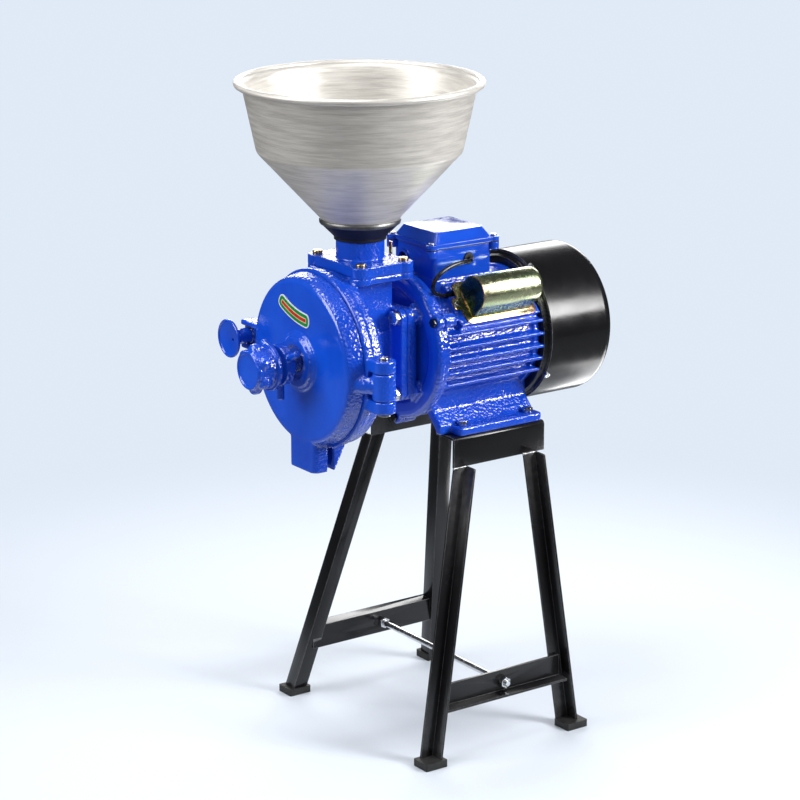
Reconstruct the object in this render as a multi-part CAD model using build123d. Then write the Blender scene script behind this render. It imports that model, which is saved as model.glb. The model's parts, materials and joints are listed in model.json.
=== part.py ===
"""Electric grain mill on an angle-iron stand.

Frame of the part: X to the right of someone facing the grinding door, Y from
the door to the motor fan, Z up.  The origin is on the floor, midway between
the four shoes of the stand.  All sizes are in millimetres.
"""
import os
from math import atan2, cos, degrees, pi, radians, sin, sqrt, tan

from build123d import *

# ---------------------------------------------------------------- fits
RUN = 0.05          # radial clearance of a running or screwed fit
SLIDE = 0.2         # clearance of a loose sliding fit
BOLT_PLAY = 0.5     # radial play of a bolt in its clearance hole

# ---------------------------------------------------------------- main places
AXIS_Z = 493.0      # height of the motor shaft above the floor
FACE_Y = -198.0     # front face of the grinding door

# ---------------------------------------------------------------- grinding chamber
CHAMBER_R = 94.0
CHAMBER_BACK = 44.0     # depth of the chamber's back wall behind the door face

# ---------------------------------------------------------------- grinding door
DOOR_R = CHAMBER_R + 9.0    # where the face rounds into the side
DOOR_RIM_R = DOOR_R + 3.0   # at the parting face
DOOR_DEPTH = 23.0
DOOR_EDGE = 7.0         # rounding of the face edge
DOOR_WALL = 7.0
BOSS_R = 35.6           # first step of the screw boss
BOSS_STEP_R = 31.0      # second step
BOSS_H = 3.0
BOSS_STEP_H = 7.0
BOSS_RECESS_R = 20.0
BOSS_RECESS = 4.0
BOSS_INNER_R = 20.0     # the screw's boss inside the door
BOSS_INNER_H = 3.0
SEAL_R = CHAMBER_R + 4.5    # middle radius of the door's rubber seal
SEAL_W = 4.0
SEAL_H = 3.0
BADGE_X = -10.5         # middle of the badge, from the shaft axis
BADGE_Z = 57.5
BADGE_L = 67.0
BADGE_W = 17.5
BADGE_T = 0.8
BADGE_BEND = 118.0      # radius of the curve that the badge follows
BADGE_TILT = -16.0      # degrees
BADGE_CORNER = 7.0

# ---------------------------------------------------------------- mill housing
RIM_R = CHAMBER_R + 15.5    # rim behind the parting face
RIM_DEPTH = 11.0
GROOVE = 2.0
GROOVE_R = RIM_R - 3.5
BAND_R = RIM_R - 2.0
BAND_DEPTH = 16.0
BAND_EDGE = 6.0
THROAT_HALF = 33.0
THROAT_WALL = 6.0
THROAT_BACK = 114.0     # rear face of the throat behind the door face
REAR_FLANGE_Y = 110.0   # front face of the square rear flange, behind the door face
REAR_FLANGE_T = 9.0
REAR_FLANGE_HALF = 57.0
REAR_CORNER_R = 10.0
YOKE_BOLT = 47.5        # the four yoke bolts stand at this X and Z from the axis

# ---------------------------------------------------------------- inlet and hopper
INLET_Y = 89.5          # centre of the inlet behind the door face
INLET_SEAT = BAND_R - 3.8   # seat of the inlet casting above the shaft axis
INLET_SEAT_T = 9.0
INLET_T = 13.0
INLET_SCREW_X = 46.2
INLET_SCREW_Y = 30.9
INLET_LUG_R = 12.0
TUBE_R = 29.4
TUBE_BORE_R = 24.5
TUBE_TOP = 27.3         # above the top of the inlet flange
GATE_T = 2.0
GATE_HALF = 26.0
GATE_TAB_W = 5.0
GATE_TAB_H = 26.0
GATE_TRAVEL = 28.0
COLLAR_WALL = 2.1
COLLAR_R = 49.4
COLLAR_RING_H = 6.5
COLLAR_UNDER = 1.6      # ring's top below the foot of the visible cone
COLLAR_CUP_H = 16.0     # black cup under the ring
COLLAR_SLEEVE = 3.0     # sleeve on the tube below the cup
COLLAR_EDGE = 1.2
COLLAR_GAP = 0.25       # between the cup and the hopper's cone
HOPPER_R = 150.0
HOPPER_RIM_Z = INLET_SEAT + 229.3       # above the shaft axis
HOPPER_SHOULDER_R = 123.8
HOPPER_SHOULDER_Z = INLET_SEAT + 143.8
HOPPER_CONE_R = 49.2
HOPPER_CONE_Z = INLET_SEAT + 63.3       # foot of the cone that can be seen
HOPPER_WALL = 1.5
HOPPER_LIP_R = 4.0
HOPPER_FLARE_R = 139.5  # where the wall starts to flare out to the lip
HOPPER_FLARE = 11.0     # height of the flare below the rim
HOPPER_NECK = 22.0      # straight neck inside the tube

# ---------------------------------------------------------------- flour spout
SPOUT_HALF = 28.0
SPOUT_WALL = 5.0
SPOUT_DROP = RIM_R + 26.5   # below the shaft axis
SPOUT_FRONT = 1.0       # behind the door face
SPOUT_DOOR_END = 21.5
SPOUT_REAR_START = 30.0
SPOUT_REAR_END = 47.0
SPOUT_REAR_Z = BAND_R + 0.5     # where the sloping rear wall meets the band, below the axis

# ---------------------------------------------------------------- door hinge
HINGE_X = RIM_R + 14.0
HINGE_Y = 37.5          # behind the door face
HINGE_Z = -9.2          # from the shaft axis
HINGE_R = 14.0
HINGE_MID_H = 33.0
HINGE_END_H = 15.5
HINGE_GAP = 0.4
HINGE_PIN_R = 6.0
HINGE_PIN_OUT = 4.0     # pin above and below the barrel
HINGE_ARM_R = 11.5
HINGE_ARM_X = DOOR_R - 13.0
HINGE_WEB = 9.5         # how far the knuckles' webs reach into the housing's band
RIM_PLAY = 1.5          # between the housing's rim and the door's arm

# ---------------------------------------------------------------- adjusting screw
SCREW_R = 11.0
SCREW_PITCH = 3.0
SCREW_TURNS = 2.0
KNOB_FACE = 74.2        # knob face in front of the door face
KNOB_FACE_R = 23.5
KNOB_LIP = 1.6
KNOB_LOBES = 6
KNOB_LOBE_R = 8.5
KNOB_LOBE_AT = 22.5
KNOB_LOBE_FRONT = 5.0   # lobes behind the knob's face
KNOB_LOBE_T = 13.0
KNOB_CORE_R = 25.0
KNOB_BACK = 42.0
KNOB_RING_R = 28.5
KNOB_RING_T = 5.0
LOCK_R = 25.0
LOCK_FRONT = 33.0
LOCK_T = 12.0
PEG_R = 4.5
PEG_REACH = 43.0
PEG_ANGLES = (-90.0, 30.0, 150.0)
BALL_R = 5.0
BALL_STAND = 2.5        # how far the ball stands out of the screw's end

# ---------------------------------------------------------------- hand clamp
CLAMP_X = -(RIM_R + 12.0)
CLAMP_Z = 6.2           # above the shaft axis
CLAMP_FACE = 25.0       # disc face in front of the door face
CLAMP_R = 24.0
CLAMP_NECK_R = 9.5
CLAMP_DISC_T = 6.0
CLAMP_STUD_R = 5.0
CLAMP_STUD_PLAY = 1.2
CLAMP_EAR_HALF = 18.0
CLAMP_EAR_OUT = 13.0
CLAMP_EAR_FRONT = 2.0
CLAMP_RIB_H = 6.5
CLAMP_WASHER_T = 2.0
CLAMP_PITCH = 3.0
CLAMP_TURNS = 5.0
CLAMP_STUD_IN = CLAMP_PITCH * CLAMP_TURNS - 1.0     # stud inside the housing's lug

# ---------------------------------------------------------------- grinding discs and rotor
DISC_R = 76.0
DISC_T = 10.0
DISC_EYE_R = 27.0
DISC_GAP = 0.6
DISC_GROOVES = 24
CARRIER_T = 7.0
CARRIER_HUB_R = 21.0
CARRIER_HUB_T = 9.0
DISC_SCREW_AT = 55.0
SHAFT_R = 12.5
SHAFT_NOSE_R = 10.0
SHAFT_FLAT = 8.0        # half width across the two flats of the nose
AUGER_R = 25.5
AUGER_CORE_R = 16.0
AUGER_PITCH = 30.0
AUGER_BLADE = 4.0
SPRING_WIRE_R = 1.3
SPRING_R = 14.4
SPRING_TURNS = 4

# ---------------------------------------------------------------- motor
YOKE_PLATE_T = 12.0
YOKE_WEB_T = 5.0
YOKE_HALF = 52.0
YOKE_BORE_R = 41.0
SHIELD_FRONT = 138.0    # behind the door face
SHIELD_T = 13.0
SHIELD_PLATE_T = 6.0
FRAME_START = 151.0
FRAME_END = 304.0
FRAME_BORE_R = 68.0
FRAME_R = FRAME_BORE_R + 8.0
FRAME_RIM_R = 89.0      # front rim and rear end shield
FRAME_RIM_T = 9.0
FRAME_TAIL_R = FRAME_R + 4.0    # thickened rear end between the fins
SHIELD_R = FRAME_RIM_R + 4.0    # front end shield
FIN_OUT = FRAME_RIM_R + 1.0
FIN_T = 4.0
FIN_PITCH = 16.0
FIN_COUNT = 6
FOOT_HALF = 87.4
FOOT_T = 10.0
FOOT_START = 177.0
FOOT_DROP = 104.4       # foot face below the shaft axis
FOOT_BOLT_X = 73.0
FOOT_BOLT_AT = (190.6, 290.6)
FOOT_BOLT_R = 4.0
TIE_BOLT_AT = FRAME_RIM_R + 4.0
TIE_BOLT_ANGLES = (28.0, 152.0, 270.0)
TIE_BOLT_R = 3.0
TIE_EAR_R = 9.0
STATOR_IN_R = 42.0
STATOR_START = 180.0
STATOR_END = 270.0
WINDING_T = 16.0
BEARING_OUT_R = 26.0
BEARING_T = 15.0
REAR_SHIELD_T = 14.0
COWL_R = FRAME_RIM_R + 6.5
COWL_WALL = 1.8
COWL_START = 311.7
COWL_END = 411.6
COWL_EDGE = 14.0
COWL_SCREW_ANGLES = (-30.0, 60.0, 150.0, 240.0)
FAN_R = 84.0
FAN_BLADES = 8

# ---------------------------------------------------------------- terminal box
BOX_X = -4.0
BOX_Y = 216.0           # centre behind the door face
BOX_HALF_X = 42.0
BOX_HALF_Y = 44.0
BOX_WALL = 3.0
BOX_FLOOR = FRAME_RIM_R - 6.0   # above the shaft axis
BOX_TOP = BOX_FLOOR + 37.0
GASKET_T = 1.5
LID_HALF_X = 46.0
LID_HALF_Y = 47.0
LID_T = 5.5
LID_RISE = 12.5
LID_INSET = 8.0
LID_EAR_R = 7.0
ENTRY_R = 8.2           # cable entry
ENTRY_BOSS_R = 11.0
ENTRY_BOSS_T = 3.0
ENTRY_X = -20.0         # from the middle of the box
ENTRY_Z = BOX_FLOOR + 17.0
BOARD_T = 6.0
GROMMET_R = 5.2
GROMMET_Y = 8.0         # behind the middle of the box
GROMMET_Z = BOX_FLOOR + 21.0

# ---------------------------------------------------------------- capacitor
CAP_ANGLE = 42.0
CAP_SEAT = FRAME_RIM_R - 7.0    # the cover's flange lies this far from the shaft axis
CAP_R = 22.0
CAP_RISE = 23.0         # straight side below the half-round top
CAP_START = 202.0
CAP_END = 296.5
CAP_DOME = 9.0
CAP_FLANGE = 29.0       # half width of the flange
CAP_FLANGE_START = 193.0
CAP_FLANGE_END = 299.5
CAP_CORNER = 9.0
CAP_TAB = 8.0           # half width of the two screw tabs
CAP_TAB_START = 183.5
CAP_SHEET = 1.5
CAN_R = 19.0
CAN_L = 57.0
CAN_INSET = 34.0        # the can's front behind the cover's front

# ---------------------------------------------------------------- lead to the capacitor
LEAD_R = 2.6
LEAD_OUT = [            # bends counted from the grommet: right, back, up
    (-8.0, 0.0, 0.0),
    (8.0, 0.0, 0.0),
    (14.5, -8.0, 0.4),
    (17.5, -21.0, 1.2),
    (18.5, -34.0, 0.2),
    (19.5, -47.0, -3.0),
    (20.5, -59.0, -8.5),
    (20.5, -68.0, -18.0),
    (19.5, -68.5, -29.0),
    (17.5, -59.0, -34.5),
]
LEAD_IN = [             # bends on the capacitor's seat: across it, along the motor, off the seat
    (-16.0, 184.0, -4.6),
    (-16.0, 204.0, -4.6),
    (-12.0, 220.0, 9.5),
    (-12.0, 236.0, 9.5),
]
LEAD_CHANNEL = 6.6      # width of the channel in the seat, under the cover's flange
LEAD_CHANNEL_END = 216.0

# ---------------------------------------------------------------- stand
RAIL_OUT = 89.0
RAIL_W = 38.0
RAIL_H = 38.0
RAIL_T = 3.5
RAIL_BEND = 5.0
RAIL_START = -32.0
RAIL_END = 108.0
LEG_W = 20.5
LEG_T = 3.0
LEG_TOP_Y = {"front": -21.5, "back": 86.0}
LEG_FOOT_X = {"front": 150.5, "back": 146.0}
LEG_FOOT_Y = {"front": -111.0, "back": 106.0}
SHOE_X = 28.0
SHOE_Y = 32.0
SHOE_H = 9.0
SHOE_FLOOR = 3.0
SHOE_OUT = 3.5          # the shoe's middle lies this far outside the back legs
BRACE_Z = 62.0
BRACE_H = 30.0
BRACE_W = 20.0
BRACE_T = 3.0
BRACE_LINE = 132.0      # outer face of the brace's upright side
ROD_R = 4.0
ROD_Y = 14.0
ROD_Z = 76.0
NUT_AF = 13.0
NUT_T = 6.5

# ---------------------------------------------------------------- places worked out
SEAM_Y = FACE_Y + DOOR_DEPTH
RIM_END_Y = SEAM_Y + RIM_DEPTH
BAND_Y0 = RIM_END_Y + GROOVE
BAND_Y1 = BAND_Y0 + BAND_DEPTH
CHAMBER_Y = FACE_Y + CHAMBER_BACK
THROAT_Y1 = FACE_Y + THROAT_BACK
FLANGE_Y0 = FACE_Y + REAR_FLANGE_Y
FLANGE_Y1 = FLANGE_Y0 + REAR_FLANGE_T
SEAT_Z = AXIS_Z + INLET_SEAT
INLET_CY = FACE_Y + INLET_Y
INLET_TOP = SEAT_Z + INLET_T
TUBE_TOP_Z = INLET_TOP + TUBE_TOP
HINGE_CY = FACE_Y + HINGE_Y
HINGE_CZ = AXIS_Z + HINGE_Z
CLAMP_CZ = AXIS_Z + CLAMP_Z
FIXED_Y0 = CHAMBER_Y - DISC_T
MOVING_Y1 = FIXED_Y0 - DISC_GAP
MOVING_Y0 = MOVING_Y1 - DISC_T
CARRIER_Y0 = MOVING_Y0 - CARRIER_T
NOSE_Y = CARRIER_Y0 - RUN
SCREW_END_Y = NOSE_Y - BALL_STAND
YOKE_Y1 = FLANGE_Y1 + YOKE_PLATE_T
SHIELD_Y0 = FACE_Y + SHIELD_FRONT
SHIELD_Y1 = SHIELD_Y0 + SHIELD_T
FRAME_Y0 = FACE_Y + FRAME_START
FRAME_Y1 = FACE_Y + FRAME_END
REAR_Y1 = FRAME_Y1 + REAR_SHIELD_T
FOOT_Z = AXIS_Z - FOOT_DROP
COWL_Y0 = FACE_Y + COWL_START
COWL_Y1 = FACE_Y + COWL_END
BOX_CY = FACE_Y + BOX_Y
BOX_Z0 = AXIS_Z + BOX_FLOOR
BOX_Z1 = AXIS_Z + BOX_TOP
LID_Z0 = BOX_Z1 + GASKET_T
RAIL_BOTTOM = FOOT_Z - RAIL_H
CONE_SLOPE = (HOPPER_SHOULDER_R - HOPPER_CONE_R) / (HOPPER_SHOULDER_Z - HOPPER_CONE_Z)


# ================================================================ shape helpers
def along_y(r, y0, y1, x=0.0, z=AXIS_Z):
    """A cylinder parallel to the motor shaft."""
    return Pos(x, (y0 + y1) / 2, z) * Rot(90, 0, 0) * Cylinder(r, y1 - y0)


def along_z(r, z0, z1, x=0.0, y=0.0):
    """An upright cylinder."""
    return Pos(x, y, (z0 + z1) / 2) * Cylinder(r, z1 - z0)


def along_x(r, x0, x1, y, z):
    """A cylinder across the mill."""
    return Pos((x0 + x1) / 2, y, z) * Rot(0, 90, 0) * Cylinder(r, x1 - x0)


def block(x0, x1, y0, y1, z0, z1):
    """A box given by its two corners."""
    return Pos((x0 + x1) / 2, (y0 + y1) / 2, (z0 + z1) / 2) * Box(x1 - x0, y1 - y0, z1 - z0)


def turned(points):
    """A body of revolution about the motor shaft, from (radius, y) points."""
    face = make_face(Polyline(*points, close=True))
    return Pos(0, 0, AXIS_Z) * revolve(face, Axis.Y)


def spun(points):
    """A body of revolution about the hopper's upright axis, from (radius, z) points."""
    face = make_face(Plane.XZ * Polyline(*points, close=True))
    return Pos(0, INLET_CY, 0) * revolve(face, Axis.Z)


def prism(outline, y0, y1):
    """A straight bar along Y with an (x, z) outline, z counted from the shaft axis."""
    points = [(x, AXIS_Z + z) for x, z in outline]
    face = make_face(Plane.XZ * Polyline(*points, close=True))
    return Pos(0, y0, 0) * extrude(face, y1 - y0, dir=(0, 1, 0))


def hex_prism(across_flats, height):
    """A hexagonal prism standing on the XY plane."""
    return extrude(RegularPolygon(across_flats / sqrt(3), 6), height)


def hex_bolt(across_flats, head, r, length):
    """A hexagon bolt: head above the XY plane, shank below it."""
    top = hex_prism(across_flats, head) & Pos(0, 0, head / 2) * Cylinder(across_flats * 0.56, head)
    return top + Pos(0, 0, -length / 2) * Cylinder(r, length)


def pan_screw(head_r, head, r, length):
    """A slotted pan-head screw: head above the XY plane, shank below it."""
    top = Pos(0, 0, head / 2) * Cylinder(head_r, head)
    top = fillet(top.edges().sort_by(Axis.Z)[-1], head * 0.45)
    top -= Pos(0, 0, head) * Box(head_r * 1.9, head_r * 0.28, head * 0.6)
    return top + Pos(0, 0, -length / 2) * Cylinder(r, length)


def mirrored(shape, side):
    """The shape itself on the right, its mirror image on the left."""
    return shape if side > 0 else mirror(shape, Plane.YZ)


def polar(radius, angle):
    """The (x, z) place at an angle about the motor shaft."""
    return radius * cos(radians(angle)), AXIS_Z + radius * sin(radians(angle))


def group(solids):
    """Separate solids kept in one node."""
    return Compound(children=[s if isinstance(s, Solid) else s.solids()[0] for s in solids])


def largest(shape):
    """The biggest solid of a shape."""
    return shape.solids().sort_by(SortBy.VOLUME)[-1]


def swept_wire(path, r):
    """A round wire along a path."""
    return sweep(Plane(path @ 0, z_dir=path % 0) * Circle(r), path=path)


# ================================================================ stand
def leg_place(side, end):
    """Top and bottom middle points of one leg."""
    top_x = RAIL_OUT - LEG_T + LEG_W / 2
    top = Vector(side * top_x, LEG_TOP_Y[end], RAIL_BOTTOM)
    foot = Vector(side * LEG_FOOT_X[end], LEG_FOOT_Y[end], SHOE_FLOOR)
    return top, foot


def leg_at(side, end, z):
    """Middle of a leg at a height."""
    top, foot = leg_place(side, end)
    return foot + (top - foot) * ((z - foot.Z) / (top.Z - foot.Z))


def stand_leg(side, end):
    """One leg of angle iron, splayed both ways, cut level at its two ends."""
    a, t = LEG_W / 2, LEG_T
    outline = [(-a, -a), (t - a, -a), (t - a, a - t), (a, a - t), (a, a), (-a, a)]
    outline = [(side * x, side * y) for x, y in outline]
    face = make_face(Polyline(*outline, close=True))
    top, foot = leg_place(side, end)
    return loft([Pos(*foot) * face, Pos(*top) * face], ruled=True)


def stand_rail(side):
    """Angle iron that one side of the motor's feet is bolted to."""
    rail = block(RAIL_OUT - RAIL_W, RAIL_OUT, RAIL_START, RAIL_END, RAIL_BOTTOM, FOOT_Z)
    rail -= block(RAIL_OUT - RAIL_W - 1, RAIL_OUT - RAIL_T, RAIL_START - 1, RAIL_END + 1,
                  RAIL_BOTTOM - 1, FOOT_Z - RAIL_T)
    bend = rail.edges().filter_by(Axis.Y).sort_by(lambda e: e.center().X + e.center().Z)[-1]
    rail = fillet(bend, RAIL_BEND)
    for at in FOOT_BOLT_AT:
        rail -= along_z(FOOT_BOLT_R + BOLT_PLAY, RAIL_BOTTOM, FOOT_Z + 1, FOOT_BOLT_X, FACE_Y + at)
    return mirrored(rail, side)


def stand_brace(side, legs):
    """Angle iron between the two legs of one side, its flat side outwards."""
    y0 = leg_at(side, "front", BRACE_Z).Y
    y1 = leg_at(side, "back", BRACE_Z).Y
    x1 = BRACE_LINE
    z0, z1 = BRACE_Z, BRACE_Z + BRACE_H
    bar = block(x1 - BRACE_T, x1, y0, y1, z0, z1)
    if side > 0:
        bar += block(x1 - BRACE_T, x1 + BRACE_W - BRACE_T, y0, y1, z0, z0 + BRACE_T)
    else:
        bar += block(x1 - BRACE_T, x1 + BRACE_W - BRACE_T, y0, y1, z1 - BRACE_T, z1)
    bar -= along_x(ROD_R + BOLT_PLAY, x1 - BRACE_W, x1 + BRACE_W, ROD_Y, ROD_Z)
    bar = mirrored(bar, side)
    for leg in legs:
        bar -= leg
    return largest(bar)


def stand_shoe(side, end, leg):
    """Rubber shoe pushed on to the foot of a leg."""
    foot = leg_place(side, end)[1]
    out = SHOE_OUT if end == "back" else 0.0
    x, y = foot.X + side * out, foot.Y + out
    shoe = block(x - SHOE_X / 2, x + SHOE_X / 2, y - SHOE_Y / 2, y + SHOE_Y / 2, 0, SHOE_H)
    shoe = fillet(shoe.edges().filter_by(Axis.Z), 2.0)
    return largest(shoe - leg)


def tie_rod():
    """Screwed rod that holds the two sides of the stand together."""
    reach = BRACE_LINE + NUT_T + 4
    rod = along_x(ROD_R, -reach, reach, ROD_Y, ROD_Z)
    return chamfer(rod.edges().filter_by(GeomType.CIRCLE), 0.8)


def tie_rod_nuts():
    """A nut on each side of each brace."""
    nuts = []
    for side in (1, -1):
        for x in (BRACE_LINE, BRACE_LINE - BRACE_T - NUT_T):
            nut = hex_prism(NUT_AF, NUT_T) - Cylinder(ROD_R + RUN, 4 * NUT_T)
            nuts.append(mirrored(Pos(x, ROD_Y, ROD_Z) * Rot(0, 90, 0) * nut, side))
    return group(nuts)


def motor_foot_bolts():
    """Bolts and nuts through the motor's feet and the rails."""
    parts = []
    grip = FOOT_T + RAIL_T
    for side in (1, -1):
        for at in FOOT_BOLT_AT:
            place = Pos(side * FOOT_BOLT_X, FACE_Y + at, FOOT_Z + FOOT_T)
            parts.append(place * hex_bolt(NUT_AF, 5.5, FOOT_BOLT_R, grip + NUT_T + 3))
            nut = hex_prism(NUT_AF, NUT_T) - Cylinder(FOOT_BOLT_R + RUN, 4 * NUT_T)
            parts.append(place * Pos(0, 0, -grip - NUT_T) * nut)
    return group(parts)


# ================================================================ motor
def motor_frame():
    """Cast motor frame with cooling fins, feet, terminal box seat and tie-bolt lugs."""
    frame = along_y(FRAME_R, FRAME_Y0, FRAME_Y1)
    frame += along_y(FRAME_RIM_R, FRAME_Y0, FRAME_Y0 + FRAME_RIM_T)
    frame += along_y(FRAME_TAIL_R, FRAME_Y1 - FRAME_RIM_T, FRAME_Y1)
    fin_y0 = FRAME_Y0 + FRAME_RIM_T
    for side in (1, -1):
        for n in range(FIN_COUNT):
            z = AXIS_Z + (n - 2.5) * FIN_PITCH
            reach = min(FIN_OUT, sqrt(FRAME_RIM_R ** 2 - (z - AXIS_Z) ** 2) + 1)
            x0, x1 = sorted((side * FRAME_BORE_R * 0.7, side * reach))
            frame += block(x0, x1, fin_y0 - 1, FRAME_Y1, z - FIN_T / 2, z + FIN_T / 2)
        inner, outer = FRAME_R * 0.5, FOOT_HALF
        skirt = [(inner, -60), (52, -54), (52, -77), (68, FOOT_T + 1 - FOOT_DROP),
                 (68, -FOOT_DROP), (58, -FOOT_DROP), (58, 4 - FOOT_DROP), (inner, -80)]
        frame += mirrored(prism(skirt, fin_y0, FRAME_Y1), side)
        foot = block(58, outer, FACE_Y + FOOT_START, FRAME_Y1, FOOT_Z, FOOT_Z + FOOT_T)
        corners = foot.edges().filter_by(Axis.Z).sort_by(Axis.X)[-2:]
        frame += mirrored(fillet(corners, 5), side)
    for n in range(4):
        x = (n - 1.5) * FIN_PITCH
        frame += block(x - FIN_T / 2, x + FIN_T / 2, fin_y0 - 1, FRAME_Y1,
                       AXIS_Z - FRAME_RIM_R, AXIS_Z - FRAME_BORE_R)
    seat_x0, seat_x1 = BOX_X - BOX_HALF_X, BOX_X + BOX_HALF_X
    seat_y0, seat_y1 = BOX_CY - BOX_HALF_Y, BOX_CY + BOX_HALF_Y
    frame += block(seat_x0, seat_x1, seat_y0, seat_y1, AXIS_Z + FRAME_BORE_R * 0.7, BOX_Z0)
    pad = block(-CAP_FLANGE, CAP_FLANGE, FACE_Y + CAP_TAB_START, FRAME_Y1, FRAME_BORE_R, CAP_SEAT)
    frame += Pos(0, 0, AXIS_Z) * Rot(0, 90 - CAP_ANGLE, 0) * pad
    above = block(-CAP_FLANGE - 1, CAP_FLANGE + 1, fin_y0, FRAME_Y1 + 1, CAP_SEAT, CAP_SEAT + CAP_R)
    frame -= Pos(0, 0, AXIS_Z) * Rot(0, 90 - CAP_ANGLE, 0) * above
    frame -= block(seat_x0 - 1, seat_x1 + 1, seat_y0 - 1, seat_y1 + 1, BOX_Z0, BOX_Z0 + 40)
    for angle in TIE_BOLT_ANGLES:
        x, z = polar(TIE_BOLT_AT, angle)
        frame += along_y(TIE_EAR_R, FRAME_Y0, FRAME_Y0 + 18, x, z)
    frame -= along_y(FRAME_BORE_R, FRAME_Y0 - 1, FRAME_Y1 + 1)
    for angle in TIE_BOLT_ANGLES:
        x, z = polar(TIE_BOLT_AT, angle)
        frame -= along_y(TIE_BOLT_R + RUN, FRAME_Y0 - 1, FRAME_Y0 + 19, x, z)
    for side in (1, -1):
        for at in FOOT_BOLT_AT:
            frame -= along_z(FOOT_BOLT_R + BOLT_PLAY, FOOT_Z - 1, FOOT_Z + FOOT_T + 1,
                             side * FOOT_BOLT_X, FACE_Y + at)
            head_room = along_z(NUT_AF * 0.66, FOOT_Z + FOOT_T, FOOT_Z + FOOT_T + 20,
                                side * FOOT_BOLT_X, FACE_Y + at)
            frame -= head_room
    for x, y in box_screw_places():
        frame -= along_z(2.0 + RUN, BOX_Z0 - 7, BOX_Z0 + 1, x, y)
    for place in cap_screw_places():
        frame -= place * Pos(0, 0, -4) * Cylinder(2.0 + RUN, 8)
    half, floor = LEAD_CHANNEL / 2, LEAD_IN[0][2] - LEAD_CHANNEL / 2
    channel = block(LEAD_IN[0][0] - half, LEAD_IN[0][0] + half, CAP_TAB_START - 1, LEAD_CHANNEL_END, floor, 1)
    frame -= cap_frame(0, 0, 0) * channel
    return largest(frame)


def front_end_shield():
    """Front end shield: bearing hub, dished plate, rim, four arms and the yoke plate."""
    half = REAR_FLANGE_HALF
    yoke = block(-half, half, FLANGE_Y1, YOKE_Y1, AXIS_Z - half, AXIS_Z + half)
    yoke = fillet(yoke.edges().filter_by(Axis.Y), REAR_CORNER_R)
    web = block(-YOKE_HALF, YOKE_HALF, YOKE_Y1, YOKE_Y1 + YOKE_WEB_T,
                AXIS_Z - YOKE_HALF, AXIS_Z + YOKE_HALF)
    yoke += fillet(web.edges().filter_by(Axis.Y), REAR_CORNER_R)
    for sx in (1, -1):
        for sz in (1, -1):
            arm = block(-11, 11, YOKE_Y1, SHIELD_Y1, -9, 9)
            x, z = sx * (YOKE_BOLT + 1), sz * (YOKE_BOLT + 1)
            yoke += Pos(x, 0, AXIS_Z + z) * Rot(0, sx * sz * 45, 0) * arm
    yoke -= along_y(YOKE_BORE_R, FLANGE_Y1 - 1, SHIELD_Y0)
    inner = SHIELD_Y1 - SHIELD_PLATE_T
    dish = turned([(0, SHIELD_Y0), (SHIELD_R - 10, SHIELD_Y0), (SHIELD_R - 3, SHIELD_Y0 + 2),
                   (SHIELD_R, SHIELD_Y0 + 6), (SHIELD_R, SHIELD_Y1), (0, SHIELD_Y1)])
    dish -= turned([(SHAFT_R, inner - 1), (FRAME_BORE_R - 6, inner - 1), (FRAME_BORE_R - 2, inner + 2),
                    (FRAME_BORE_R - 2, SHIELD_Y1 + 1), (SHAFT_R, SHIELD_Y1 + 1)])
    hollow_in, hollow_out = BEARING_OUT_R + 14, SHIELD_R - 19
    dish -= turned([(hollow_in, SHIELD_Y0 - 1), (hollow_out, SHIELD_Y0 - 1),
                    (hollow_out - 4, SHIELD_Y0 + 3), (hollow_in + 2, SHIELD_Y0 + 3)])
    shield = yoke + dish
    bearing_y0 = FLANGE_Y1 + 6
    shield += along_y(BEARING_OUT_R + 6, FLANGE_Y1 + 2, SHIELD_Y1 - 1)
    for angle in TIE_BOLT_ANGLES:
        x, z = polar(TIE_BOLT_AT, angle)
        shield += along_y(TIE_EAR_R, SHIELD_Y1 - 10, SHIELD_Y1, x, z)
    shield -= along_y(BEARING_OUT_R, bearing_y0, bearing_y0 + BEARING_T)
    shield -= along_y(SHAFT_R + 2, FLANGE_Y1 - 1, SHIELD_Y1 + 1)
    for angle in TIE_BOLT_ANGLES:
        x, z = polar(TIE_BOLT_AT, angle)
        shield -= along_y(TIE_BOLT_R + RUN, SHIELD_Y0 - 1, SHIELD_Y1 + 1, x, z)
        shield -= along_y(6.6, SHIELD_Y0 - 8, SHIELD_Y1 - 10, x, z)
    for x in (YOKE_BOLT, -YOKE_BOLT):
        for z in (YOKE_BOLT, -YOKE_BOLT):
            shield -= along_y(5 + RUN, FLANGE_Y1 - 1, YOKE_Y1 + 4, x, AXIS_Z + z)
    return largest(shield)


def rear_end_shield():
    """Rear end shield with the rear bearing seat; the cowl slides over its rim."""
    rim = COWL_R - COWL_WALL - SLIDE
    shield = turned([(0, FRAME_Y1), (FRAME_RIM_R, FRAME_Y1), (FRAME_RIM_R, COWL_Y0 - 1),
                     (rim, COWL_Y0 - 1), (rim, REAR_Y1), (rim - 6, REAR_Y1), (rim - 10, REAR_Y1 - 8),
                     (40, REAR_Y1 - 8), (36, REAR_Y1), (0, REAR_Y1)])
    shield -= along_y(BEARING_OUT_R, REAR_Y1 - BEARING_T - 3, REAR_Y1 - 3)
    shield -= along_y(SHAFT_R + 2, FRAME_Y1 - 1, REAR_Y1 + 1)
    for angle in COWL_SCREW_ANGLES:
        shield -= Pos(0, REAR_Y1 - 5, AXIS_Z) * Rot(0, -angle, 0) * Pos(rim - 5, 0, 0) \
            * Rot(0, 90, 0) * Cylinder(2.0 + RUN, 12)
    return largest(shield)


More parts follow.
